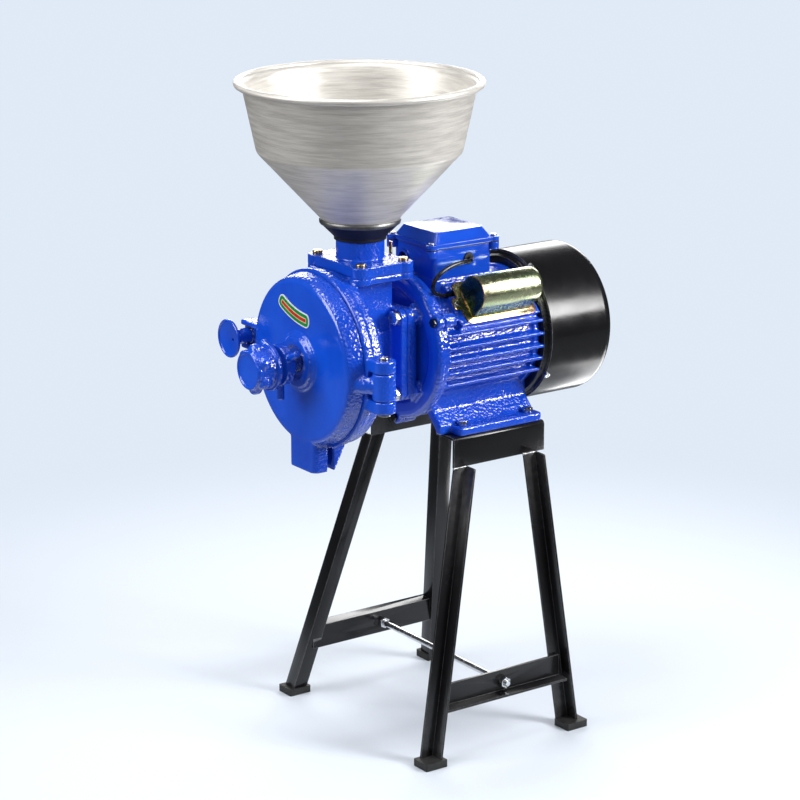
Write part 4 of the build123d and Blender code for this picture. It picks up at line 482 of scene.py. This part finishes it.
def black_enamel():
    """Satin black stove enamel with a faint orange peel and greyer edges, a painted highlight."""
    material, tree, shader = new_material("black_enamel", IOR=1.45)
    # the edge mask lays the painted highlight into the colour
    tint_and_highlight = use_group(tree, edge_tint_and_highlight, Amount=0.9, Scale=120.0)
    colour = blend(tree, tint_and_highlight.outputs["Mask"], STOVE_BLACK, EDGE_PAINTED_HIGHLIGHT)
    tone = use_group(tree, hammer_tone, Scale=700.0, Depth=0.025)
    rough = ramp(tree, noise_mask(tree, 45.0), greys((0.3, 0.17), (0.8, 0.26)))
    wire(tree, shader, Base_Color=colour, Roughness=rough, Normal=tone.outputs["Normal"])
    return material


def black_rubber():
    """Moulded rubber, dull with a fine grain."""
    material, tree, shader = new_material("black_rubber", Roughness=0.62)
    colour = ramp(tree, noise_mask(tree, 80.0), greys((0.3, 0.008), (0.8, 0.024)))
    tone = use_group(tree, hammer_tone, Scale=1500.0, Depth=0.10)
    wire(tree, shader, Base_Color=colour, Normal=tone.outputs["Normal"])
    return material


def lead_black():
    """The smooth sheath of a flexible lead, a little dusty."""
    material, tree, shader = new_material("lead_black")
    colour = ramp(tree, noise_mask(tree, 120.0), greys((0.4, 0.005), (0.9, 0.022)))
    rough = ramp(tree, noise_mask(tree, 200.0), greys((0.3, 0.20), (0.8, 0.34)))
    wire(tree, shader, Base_Color=colour, Roughness=rough)
    return material


# %% Bare and plated metal
def plain_metal(name, low, high, rough_low, rough_high, scale=90.0):
    """A metal whose tint and polish drift over the surface."""
    material, tree, shader = new_material(name, Metallic=1.0)
    colour = ramp(tree, noise_mask(tree, scale), [(0.3, low), (0.7, high)])
    rough = ramp(tree, noise_mask(tree, scale * 2.3), greys((0.3, rough_low), (0.75, rough_high)))
    tone = use_group(tree, hammer_tone, Scale=scale * 9, Depth=0.03)
    wire(tree, shader, Base_Color=colour, Roughness=rough, Normal=tone.outputs["Normal"])
    return material


# %% Spun aluminium
# what the fine rings and the broad bands each add to the colour
RING_SHARE = 0.55
BROAD_SHARE = 0.45


def spun_aluminium():
    """Spun sheet: close rings round the axis, bright where the tool pressed."""
    material, tree, shader = new_material("spun_aluminium", Metallic=0.4)
    rings = use_group(tree, turning_rings, Rings=1900.0, Depth=0.40, Axis=(0.02, 0.02, 1.0))
    broad = noise_mask(tree, 18.0, stretch=(1.0, 1.0, 14.0))
    fine = add_node(tree, "ShaderNodeMath", operation="MULTIPLY")
    fine.inputs[1].default_value = RING_SHARE
    both = add_node(tree, "ShaderNodeMath", operation="MULTIPLY_ADD")
    both.inputs[1].default_value = BROAD_SHARE
    tree.links.new(rings.outputs["Mask"], fine.inputs[0])
    tree.links.new(broad, both.inputs[0])
    tree.links.new(fine.outputs[0], both.inputs[2])
    colour = ramp(tree, both.outputs[0], [
        (0.36, (0.50, 0.48, 0.445)), (0.50, (0.65, 0.625, 0.585)), (0.64, (0.78, 0.755, 0.71))])
    rough = ramp(tree, broad, greys((0.3, 0.34), (0.8, 0.50)))
    wire(tree, shader, Base_Color=colour, Roughness=rough, Normal=rings.outputs["Normal"])
    return material


# %% [markdown]
# ### Yellow zinc
#
# Pressed steel covers are zinc plated and dipped in a passivating bath, which leaves a film
# as thin as a soap bubble's.  Its colour drifts from straw to green and pink, and along bent
# edges, where the film is thicker, it turns orange.  On the drawn front end the colour is
# darkened to a painted dark reflection.


# %% Yellow zinc
# painted reflection: the colour of faces looking forward, standing in for the dark room that the
# front end mirrors
FRONT_END_PAINTED_REFLECTION = (0.07, 0.12, 0.06, 1.0)
PAINTED_REFLECTION_RANGE = (-0.80, -0.95)


def yellow_zinc():
    """Passivated zinc: straw with green drifts, orange and pink edges, and a painted dark
    reflection on the front end.
    """
    material, tree, shader = new_material("yellow_zinc", Metallic=1.0)
    drift = noise_mask(tree, 30.0, stretch=(1.0, 0.3, 1.0))
    body = ramp(tree, drift, [
        (0.30, (0.34, 0.52, 0.34)), (0.46, (0.66, 0.74, 0.44)),
        (0.60, (0.86, 0.84, 0.52)), (0.76, (0.62, 0.62, 0.36))])
    edge = ramp(tree, drift, [(0.35, (0.95, 0.62, 0.08)), (0.65, (0.90, 0.38, 0.26))])
    tint_and_highlight = use_group(tree, edge_tint_and_highlight, Amount=2.6, Scale=40.0, Reach=3.2 * MM)
    body_with_painted_reflection = blend(tree, remap(tree, facing(tree), *PAINTED_REFLECTION_RANGE), body, FRONT_END_PAINTED_REFLECTION)
    colour = blend(tree, tint_and_highlight.outputs["Mask"], body_with_painted_reflection, edge)
    rough = ramp(tree, noise_mask(tree, 150.0), greys((0.3, 0.18), (0.8, 0.34)))
    tone = use_group(tree, hammer_tone, Scale=500.0, Depth=0.05)
    wire(tree, shader, Base_Color=colour, Roughness=rough, Normal=tone.outputs["Normal"])
    return material


# %% [markdown]
# ### The other finishes
#
# Bare iron is darker in its pits.  Plastic, felt, rubber and paint only drift in colour and
# carry a fine grain, so one short function makes them all from a few numbers.


# %% Bare iron
def cast_iron(name, low, high, rough):
    """Bare iron, darker in its pits."""
    material, tree, shader = new_material(name, Metallic=0.85, Roughness=rough)
    tone = use_group(tree, hammer_tone, Scale=420.0, Depth=0.3)
    colour = ramp(tree, tone.outputs["Mask"], [(0.1, low), (0.7, high)])
    wire(tree, shader, Base_Color=colour, Normal=tone.outputs["Normal"])
    return material


# %% Plastic, felt and paint for small pieces
def dull_piece(name, low, high, rough, scale=70.0, bump=0.06):
    """A plain finish whose colour drifts a little, with a fine grain."""
    material, tree, shader = new_material(name, Roughness=rough)
    colour = ramp(tree, noise_mask(tree, scale), [(0.3, low), (0.75, high)])
    tone = use_group(tree, hammer_tone, Scale=scale * 12, Depth=bump)
    wire(tree, shader, Base_Color=colour, Normal=tone.outputs["Normal"])
    return material


# %% All finishes
finishes = {
    "blue_enamel": blue_enamel("blue_enamel", sides=0.70, faces=0.07),
    "smooth_blue": blue_enamel("smooth_blue", sides=0.05, faces=0.05),
    "black_enamel": black_enamel(),
    "spun_aluminium": spun_aluminium(),
    "black_rubber": black_rubber(),
    "collar_black": dull_piece("collar_black", (0.006,) * 3, (0.012,) * 3, 0.5),
    "collar_ring": plain_metal("collar_ring", (0.16,) * 3, (0.34,) * 3, 0.36, 0.50, scale=60.0),
    "lead_black": lead_black(),
    "zinc_plate": plain_metal("zinc_plate", (0.56, 0.58, 0.60), (0.76, 0.77, 0.78), 0.16, 0.32),
    "steel": plain_metal("steel", (0.46, 0.46, 0.48), (0.62, 0.62, 0.63), 0.16, 0.30),
    "black_bolt": plain_metal("black_bolt", (0.03,) * 3, (0.09,) * 3, 0.18, 0.34),
    "weld_metal": plain_metal("weld_metal", (0.42,) * 3, (0.72,) * 3, 0.30, 0.50, scale=300.0),
    "lamination": cast_iron("lamination", (0.10,) * 3, (0.24,) * 3, 0.5),
    "copper_wire": plain_metal("copper_wire", (0.55, 0.22, 0.10), (0.72, 0.34, 0.16), 0.3, 0.45),
    "moulding": dull_piece("moulding", (0.018,) * 3, (0.04,) * 3, 0.45),
    "capacitor_can": dull_piece("capacitor_can", (0.07, 0.09, 0.06), (0.12, 0.14, 0.10), 0.4),
    "yellow_zinc": yellow_zinc(),
    "felt": dull_piece("felt", (0.32, 0.28, 0.20), (0.48, 0.43, 0.33), 0.95, bump=0.4),
    "white_iron": cast_iron("white_iron", (0.22,) * 3, (0.42,) * 3, 0.38),
    "cast_iron": cast_iron("cast_iron", (0.10,) * 3, (0.26,) * 3, 0.5),
    "brass_screws": plain_metal("brass_screws", (0.70, 0.46, 0.20), (0.88, 0.70, 0.42), 0.16, 0.3),
    "badge": dull_piece("badge", (0.72, 0.76, 0.72), (0.84, 0.86, 0.83), 0.25, bump=0.02),
    "badge_green": dull_piece("badge_green", (0.005, 0.21, 0.035), (0.010, 0.29, 0.055), 0.25),
    "badge_cream": dull_piece("badge_cream", (0.66, 0.60, 0.36), (0.78, 0.72, 0.50), 0.25),
    "badge_red": dull_piece("badge_red", (0.50, 0.030, 0.012), (0.66, 0.055, 0.020), 0.25),
}
print("finishes", len(finishes))

# %% [markdown]
# ## Dressing the construction
#
# Every node of the frame gets the finish of its own slot.  A node whose shape is right as it
# is, such as a nut or a shaft, needs nothing more.  A few take a closer finish than their
# slot's: the terminal box and the clamp's disc are smooth under their blue, and the long tie
# bolts are blackened.

# %% Slots
CLOSER_FINISH = {
    "terminal_box": "smooth_blue",
    "terminal_lid": "smooth_blue",
    "clamp_knob": "smooth_blue",
    "tie_bolts": "black_bolt",
}
slot_of = {row["node"]: row["material_slot"] for row in frame["record"]["subparts"]}
finish_of = {node: CLOSER_FINISH.get(node, slot) for node, slot in slot_of.items()}
body_of = {}
for body_name, members in frame["record"]["behaviour"]["bodies"].items():
    for member in members:
        body_of[member] = body_name
for node_name, node in frame["nodes"].items():
    node.data.materials.clear()
    node.data.materials.append(finishes[finish_of[node_name]])
print("dressed", len(slot_of))

# %% [markdown]
# ## Ways to remake a piece
#
# A casting leaves the sand with round edges everywhere.  The quickest way to get them is to
# skin a copy of the node with small voxels and relax the skin.  Sheet and bar keep crisp
# edges, so their copies only get a narrow bevel.  Turned and spun pieces start from a few
# points or a circle, which an operator spins about the axis.


# %% Copies with soft edges
SAME_PLACE = 0.002 * MM
FLAT_ANGLE = math.radians(0.5)
SHARP_ANGLE = math.radians(30.0)


def merged_copy(node_name, label):
    """A copy of a node with its loose triangles joined, as an object of its own."""
    bm = bmesh.new()
    bm.from_mesh(frame["nodes"][node_name].data)
    bmesh.ops.remove_doubles(bm, verts=bm.verts, dist=SAME_PLACE)
    mesh = bpy.data.meshes.new(label)
    bm.to_mesh(mesh)
    bm.free()
    if "custom_normal" in mesh.attributes:
        mesh.attributes.remove(mesh.attributes["custom_normal"])
    copy = bpy.data.objects.new(label, mesh)
    scene.collection.objects.link(copy)
    return copy


def apply_modifiers(obj):
    """Keeps the mesh that the modifiers give as the object's own."""
    bpy.context.view_layer.update()
    depsgraph = bpy.context.evaluated_depsgraph_get()
    mesh = bpy.data.meshes.new_from_object(obj.evaluated_get(depsgraph))
    obj.modifiers.clear()
    obj.data = mesh


def stand_for(obj, node_name):
    """Gives the piece the node's finish and body, and lets it stand for the node."""
    obj.data.materials.clear()
    obj.data.materials.append(finishes[finish_of[node_name]])
    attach(obj, body_of[node_name])
    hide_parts(node_name)


def cast_copy(node_name, voxel, rounds):
    """The node's shape as a closed skin with the soft edges of a casting."""
    obj = merged_copy(node_name, node_name + "_casting")
    skin = obj.modifiers.new("skin", "REMESH")
    skin.mode = "VOXEL"
    skin.voxel_size = voxel * MM
    skin.use_smooth_shade = True
    relax = obj.modifiers.new("relax", "SMOOTH")
    relax.factor = 0.5
    relax.iterations = rounds
    apply_modifiers(obj)
    obj.data.shade_smooth()
    print(obj.name, len(obj.data.polygons), "faces")
    stand_for(obj, node_name)


def flat_faces(obj):
    """Merges the triangles of each flat face into one polygon."""
    bm = bmesh.new()
    bm.from_mesh(obj.data)
    bmesh.ops.dissolve_limit(bm, angle_limit=FLAT_ANGLE, verts=bm.verts, edges=bm.edges)
    bm.to_mesh(obj.data)
    bm.free()


def crisp_copy(node_name, width):
    """The node's shape with narrow bevels along its sharp edges."""
    obj = merged_copy(node_name, node_name + "_finished")
    flat_faces(obj)
    bevel = obj.modifiers.new("edge", "BEVEL")
    bevel.width = width * MM
    bevel.segments = 2
    bevel.limit_method = "ANGLE"
    bevel.angle_limit = SHARP_ANGLE
    apply_modifiers(obj)
    obj.data.shade_smooth()
    obj.data.set_sharp_from_angle(angle=SHARP_ANGLE)
    stand_for(obj, node_name)


# %% New pieces
def add_piece(label, bm, finish, body, sharp=40.0):
    """A bmesh as a new smooth-shaded piece with a finish, riding on a body."""
    mesh = bpy.data.meshes.new(label)
    bm.to_mesh(mesh)
    bm.free()
    obj = bpy.data.objects.new(label, mesh)
    scene.collection.objects.link(obj)
    mesh.materials.append(finishes[finish])
    mesh.shade_smooth()
    mesh.set_sharp_from_angle(angle=math.radians(sharp))
    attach(obj, body)
    return obj


# %% Spun pieces
TURN_STEPS = 160
RING_SIDES = 16


def off_axis(face):
    """The level way from the hopper's axis to a face's middle."""
    middle = face.calc_center_median()
    return Vector((middle.x, middle.y - HOPPER_Y, 0.0))


def spin_round(bm, geom, steps):
    """Spins geometry once round the hopper's axis and turns the shell's faces outwards."""
    bmesh.ops.spin(bm, geom=geom, cent=(0, HOPPER_Y, 0), axis=(0, 0, 1), angle=2 * math.pi,
                   steps=steps, use_merge=True, use_duplicate=False)
    bmesh.ops.remove_doubles(bm, verts=bm.verts, dist=0.001 * MM)
    bmesh.ops.recalc_face_normals(bm, faces=bm.faces)
    outer = max(bm.faces, key=lambda face: off_axis(face).length)
    if outer.normal.dot(off_axis(outer)) < 0:
        bmesh.ops.reverse_faces(bm, faces=bm.faces)


def ring(bm, radius, height, half_wide, half_high, steps=TURN_STEPS):
    """A rolled ring: a circle squeezed to an oval, spun round the hopper's axis."""
    stand = Matrix.Translation((radius, HOPPER_Y, height)) @ Matrix.Rotation(math.pi / 2, 4, "X")
    made = bmesh.ops.create_circle(bm, cap_ends=False, segments=RING_SIDES, radius=1.0,
                                   matrix=stand @ Matrix.Diagonal((half_wide, half_high, 1, 1)))
    edges = list({edge for vert in made["verts"] for edge in vert.link_edges})
    spin_round(bm, made["verts"] + edges, steps)


def lathe(line, top, steps=TURN_STEPS):
    """An open shell from (radius, height below the top) points in millimetres."""
    bm = bmesh.new()
    points = [bm.verts.new((r * MM, HOPPER_Y, top - z * MM)) for r, z in line]
    edges = [bm.edges.new(pair) for pair in zip(points, points[1:])]
    spin_round(bm, points + edges, steps)
    return bm


def soften_hoops(bm, heights, offset, segments):
    """Rounds the corners that run round a shell at the given heights."""
    hoops = [edge for edge in bm.edges if any(
        all(abs(vert.co.z - z) < 0.01 * MM for vert in edge.verts) for z in heights)]
    bmesh.ops.bevel(bm, geom=hoops, offset=offset, offset_type="OFFSET", affect="EDGES",
                    segments=segments, profile=0.5, material=-1)


def thicken(obj, thickness):
    """Gives a shell the thickness of its sheet, inwards from its outside."""
    wall = obj.modifiers.new("wall", "SOLIDIFY")
    wall.thickness = thickness
    wall.offset = -1.0
    apply_modifiers(obj)


# %% [markdown]
# ## Castings
#
# The door, the housing, the motor's frame and shields, the inlet and the knobs are iron
# castings under enamel.  A voxel of a millimetre or so keeps the fins and lugs, and a few
# rounds of relaxing give the foundry's radius.

# %% Castings
CASTINGS = {
    # node: (voxel in millimetres, rounds of relaxing)
    "door": (1.3, 6),
    "mill_housing": (1.35, 6),
    "front_end_shield": (1.3, 6),
    "motor_frame": (1.6, 4),
    "rear_end_shield": (1.6, 4),
    "inlet_casting": (0.9, 4),
    "adjusting_knob": (0.7, 6),
    "lock_ring": (0.7, 5),
}
for node_name, (voxel, rounds) in CASTINGS.items():
    cast_copy(node_name, voxel, rounds)

# %% [markdown]
# ## Sheet, bar and machined pieces
#
# Angle iron, the terminal box, screws and plates keep their flats.  A bevel a fraction of a
# millimetre wide is enough to catch a line of light along each edge.

# %% Crisp pieces
CRISP = {
    # node: bevel width in millimetres
    "stand_rail_right": 0.9, "stand_rail_left": 0.9,
    "stand_brace_right": 0.6, "stand_brace_left": 0.6,
    "stand_leg_front_right": 0.6, "stand_leg_front_left": 0.6,
    "stand_leg_back_right": 0.6, "stand_leg_back_left": 0.6,
    "stand_shoes": 1.0,
    "terminal_box": 0.9, "terminal_lid": 0.9, "terminal_gasket": 0.3,
    "tie_rod_nuts": 0.5, "housing_bolts": 0.5, "motor_foot_bolts": 0.4, "tie_bolts": 0.4,
    "inlet_screws": 0.3, "terminal_screws": 0.25, "cowl_screws": 0.25, "capacitor_screws": 0.25,
    "feed_gate": 0.3, "hinge_pin": 0.4, "clamp_knob": 0.5, "clamp_washer": 0.3,
    "capacitor_cover": 0.5, "lead_grommet": 0.4,
}
for node_name, width in CRISP.items():
    crisp_copy(node_name, width)
print("crisp pieces", len(CRISP))

# %% [markdown]
# ## The hopper
#
# Sheet aluminium is spun over a form in one piece: a narrow neck, a steep cone, a tapered
# wall above a soft shoulder, a short flare and a rolled lip.  A lathe would press the sheet
# over the form, and here the same line is spun: five points, one for each change of
# direction.  A bevel rounds the corners that the roller left, and the sheet gets its
# thickness last.

# %% Hopper
SHEET = 1.5 * MM
LIP_R = 4.0 * MM
HOPPER_STEPS = 192
HOPPER_CORNER = 3.0 * MM
HOPPER_LINE = [
    # (radius, height below the rim) in millimetres
    (24.3, 214.5),
    (24.3, 192.8),
    (123.8, 85.5),
    (139.5, 11.0),
    (142.6, 4.0),
]
shell = lathe(HOPPER_LINE, HOPPER_TOP, HOPPER_STEPS)
corners = [HOPPER_TOP - z * MM for r, z in HOPPER_LINE[1:4]]
soften_hoops(shell, corners, HOPPER_CORNER, segments=4)
hopper = add_piece("hopper_spun", shell, "spun_aluminium", "mill", sharp=50)
thicken(hopper, SHEET)
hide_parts("hopper")

# %% Rolled lip
lip = bmesh.new()
ring(lip, HOPPER_R - LIP_R, HOPPER_TOP - LIP_R, LIP_R, LIP_R, HOPPER_STEPS)
add_piece("hopper_lip", lip, "spun_aluminium", "mill")
print("hopper faces", len(hopper.data.polygons))

# %% [markdown]
# ## The collar
#
# A black cup slips over the inlet tube and carries the cone, and a rolled ring of bare metal
# stiffens its edge.  Between ring and cone stays a dark gap.  The cup is a short line spun
# round with a wall added, and the ring is an oval spun round.

# %% Collar
RING_WIDE = 1.3 * MM
RING_HIGH = 3.1 * MM
CUP_WALL = 1.6 * MM
CUP_CORNER = 1.6 * MM
CUP_LINE = [
    # (radius, height below the collar's top) in millimetres
    (31.7, 25.4),
    (31.7, 22.0),
    (47.2, 6.6),
    (47.6, 1.6),
]
shell = lathe(CUP_LINE, COLLAR_TOP)
soften_hoops(shell, [COLLAR_TOP - CUP_LINE[1][1] * MM], CUP_CORNER, segments=3)
cup = add_piece("collar_cup", shell, "collar_black", "mill")
thicken(cup, CUP_WALL)
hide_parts("hopper_collar")
bead = bmesh.new()
ring(bead, COLLAR_R - RING_WIDE, COLLAR_TOP - RING_HIGH, RING_WIDE, RING_HIGH)
add_piece("collar_ring", bead, "collar_ring", "mill")
print("collar", len(cup.data.polygons))

# %% [markdown]
# ## The badge
#
# The door carries a bent enamel badge: a white edge, a green field and a red bar with a
# cream outline.  It bears no words here.  Each band is the inset of the one before, so the
# bands follow the badge's own outline, and each stands a hair above the last.

# %% Badge
STEP_WIDE = 0.02 * MM
STEP_HIGH = 0.08 * MM
BADGE_BANDS = [
    # (inset in millimetres, finish)
    (1.5, "badge_green"),
    (4.1, "badge_cream"),
    (0.9, "badge_red"),
]
badge = merged_copy("door_badge", "door_badge_enamel")
flat_faces(badge)
stand_for(badge, "door_badge")
for width, finish in BADGE_BANDS:
    badge.data.materials.append(finishes[finish])
bm = bmesh.new()
bm.from_mesh(badge.data)
face = max(bm.faces, key=lambda f: -f.normal.y * f.calc_area())
for index, (width, finish) in enumerate(BADGE_BANDS):
    bmesh.ops.inset_region(bm, faces=[face], thickness=width * MM, depth=0.0,
                           use_even_offset=True, use_boundary=True)
    bmesh.ops.inset_region(bm, faces=[face], thickness=STEP_WIDE, depth=STEP_HIGH,
                           use_even_offset=True, use_boundary=True)
    face.material_index = index + 1
bm.to_mesh(badge.data)
bm.free()
print("badge faces", len(badge.data.polygons))

# %% [markdown]
# ## The capacitor's lead
#
# A short black lead leaves the terminal box, bows forward and down, and ducks under the
# capacitor's cover.  It is a curve with a round bevel.  Its control points are those of the
# construction's route, and the curve cuts smoothly inside their corners.

# %% Lead
LEAD_DIAMETER = 5.2
LEAD_ROUTE = [
    (30.0, 26.0, 597.0), (46.0, 26.0, 597.0), (52.5, 18.0, 597.4), (55.5, 5.0, 598.2),
    (56.5, -8.0, 597.2), (57.5, -21.0, 594.0), (58.5, -33.0, 588.5), (58.5, -42.0, 579.0),
    (57.5, -42.5, 568.0), (55.5, -33.0, 562.5), (46.8, -14.0, 556.7), (46.8, 6.0, 556.7),
    (60.0, 22.0, 563.1), (60.0, 38.0, 563.1),
]


def lead_curve(label, route, diameter):
    """A flexible lead as a NURBS curve with a round bevel."""
    data = bpy.data.curves.new(label, "CURVE")
    data.dimensions = "3D"
    data.bevel_depth = diameter / 2 * MM
    data.bevel_resolution = 4
    data.resolution_u = 12
    data.use_fill_caps = True
    spline = data.splines.new("NURBS")
    spline.points.add(len(route) - 1)
    for point, place in zip(spline.points, route):
        point.co = (*[c * MM for c in place], 1.0)
    spline.order_u = 3
    spline.use_endpoint_u = True
    return bpy.data.objects.new(label, data)


lead = lead_curve("capacitor_lead_curve", LEAD_ROUTE, LEAD_DIAMETER)
scene.collection.objects.link(lead)
lead.data.materials.append(finishes["lead_black"])
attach(lead, body_of["capacitor_lead"])
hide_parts("capacitor_lead")

# %% [markdown]
# ## Weld beads
#
# The legs are welded to the rails.  A bead is a row of overlapping drops, so it is made as
# one: small spheres set along the seam, a little uneven in size.

# %% Weld beads
DROP_STEP = 2.4 * MM
DROP_SIZE = 1.5 * MM
DROP_SPREAD = (0.8, 1.15)
# a drop's size across the seam, along it and upwards
DROP_SHAPE = (0.7, 1.3, 1.0)
# the leg is cut this far below the rail, and what lies this near the rail's side is the seam
SEAM_CUT = 1.0 * MM
SEAM_REACH = 0.6 * MM
SEAM_DROP = 0.6 * MM


def seam_ends(leg):
    """The two ends of the seam where a leg's outer face meets its rail's lower edge."""
    rail_low, rail_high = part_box("stand_rail_" + leg.split("_")[1])
    bm = bmesh.new()
    bm.from_mesh(frame["nodes"]["stand_leg_" + leg].data)
    cut = bmesh.ops.bisect_plane(bm, geom=bm.verts[:] + bm.edges[:] + bm.faces[:],
                                 plane_co=(0, 0, rail_low.z - SEAM_CUT), plane_no=(0, 0, 1))
    points = [piece.co.copy() for piece in cut["geom_cut"] if isinstance(piece, bmesh.types.BMVert)]
    bm.free()
    side = rail_high.x if "right" in leg else rail_low.x
    edge = [point.y for point in points if abs(point.x - side) < SEAM_REACH]
    return [Vector((side, end(edge), rail_low.z - SEAM_DROP)) for end in (min, max)]


def weld_bead(label, start, end, seed):
    """A row of flattened drops along a seam."""
    draw = random.Random(seed)
    bm = bmesh.new()
    count = int((end - start).length / DROP_STEP)
    for n in range(count + 1):
        place = start.lerp(end, n / count)
        size = DROP_SIZE * draw.uniform(*DROP_SPREAD)
        shape = Matrix.Diagonal((*[size * share for share in DROP_SHAPE], 1))
        bmesh.ops.create_icosphere(bm, subdivisions=2, radius=1.0,
                                   matrix=Matrix.Translation(place) @ shape)
    add_piece(label, bm, "weld_metal", "mill")


LEGS = ("front_right", "front_left", "back_right", "back_left")
for seed, leg in enumerate(LEGS):
    start, end = seam_ends(leg)
    weld_bead("weld_" + leg, start, end, seed)
    print("weld", leg, round((end - start).length, 4))

# %% [markdown]
# ## The floor
#
# A plain pale floor carries the mill's shadow.  Near the mill it is lit like any surface.
# Further out it fades into the backdrop's own colour, so no horizon shows, and for
# reflections it grows dark there, as the floor of a real studio does outside its lamps.

# %% Floor
FLOOR_HALF = 6.0
FLOOR_PALE = (0.60, 0.65, 0.72, 1.0)
FLOOR_DARK = (0.08, 0.09, 0.10, 1.0)
FLOOR_BOUNCE = (0.36, 0.36, 0.37, 1.0)
# where the floor starts to fade and where it has faded, in metres from the mill
MIRROR_FADE = (0.30, 0.75)
HORIZON_FADE = (0.50, 1.20)


def far_mask(tree, near, far):
    """0 on the floor near the mill and 1 beyond a distance."""
    place = tree.nodes.new("ShaderNodeTexCoord")
    reach = add_node(tree, "ShaderNodeVectorMath", operation="LENGTH")
    tree.links.new(place.outputs["Object"], reach.inputs[0])
    return remap(tree, reach.outputs["Value"], near, far, interpolation_type="SMOOTHSTEP")


def floor_material():
    """Lit and pale near the mill, the backdrop's colour far off, darker in reflections."""
    material, tree, shader = new_material("floor", Roughness=0.7)
    path = tree.nodes.new("ShaderNodeLightPath")
    mirrored = times(tree, far_mask(tree, *MIRROR_FADE), path.outputs["Is Glossy Ray"])
    shade = blend(tree, mirrored, FLOOR_PALE, FLOOR_DARK)
    wire(tree, shader, Base_Color=blend(tree, path.outputs["Is Diffuse Ray"], shade, FLOOR_BOUNCE))
    glow = add_node(tree, "ShaderNodeEmission", Color=BACKDROP)
    mix = tree.nodes.new("ShaderNodeMixShader")
    seen = times(tree, far_mask(tree, *HORIZON_FADE), path.outputs["Is Camera Ray"])
    tree.links.new(seen, mix.inputs["Fac"])
    tree.links.new(shader.outputs[0], mix.inputs[1])
    tree.links.new(glow.outputs[0], mix.inputs[2])
    tree.links.new(mix.outputs[0], tree.nodes["Material Output"].inputs["Surface"])
    return material


def build_floor():
    """A wide grid under the shoes."""
    bm = bmesh.new()
    bmesh.ops.create_grid(bm, x_segments=8, y_segments=8, size=FLOOR_HALF)
    mesh = bpy.data.meshes.new("floor")
    bm.to_mesh(mesh)
    bm.free()
    mesh.materials.append(floor_material())
    floor = bpy.data.objects.new("floor", mesh)
    scene.collection.objects.link(floor)


build_floor()
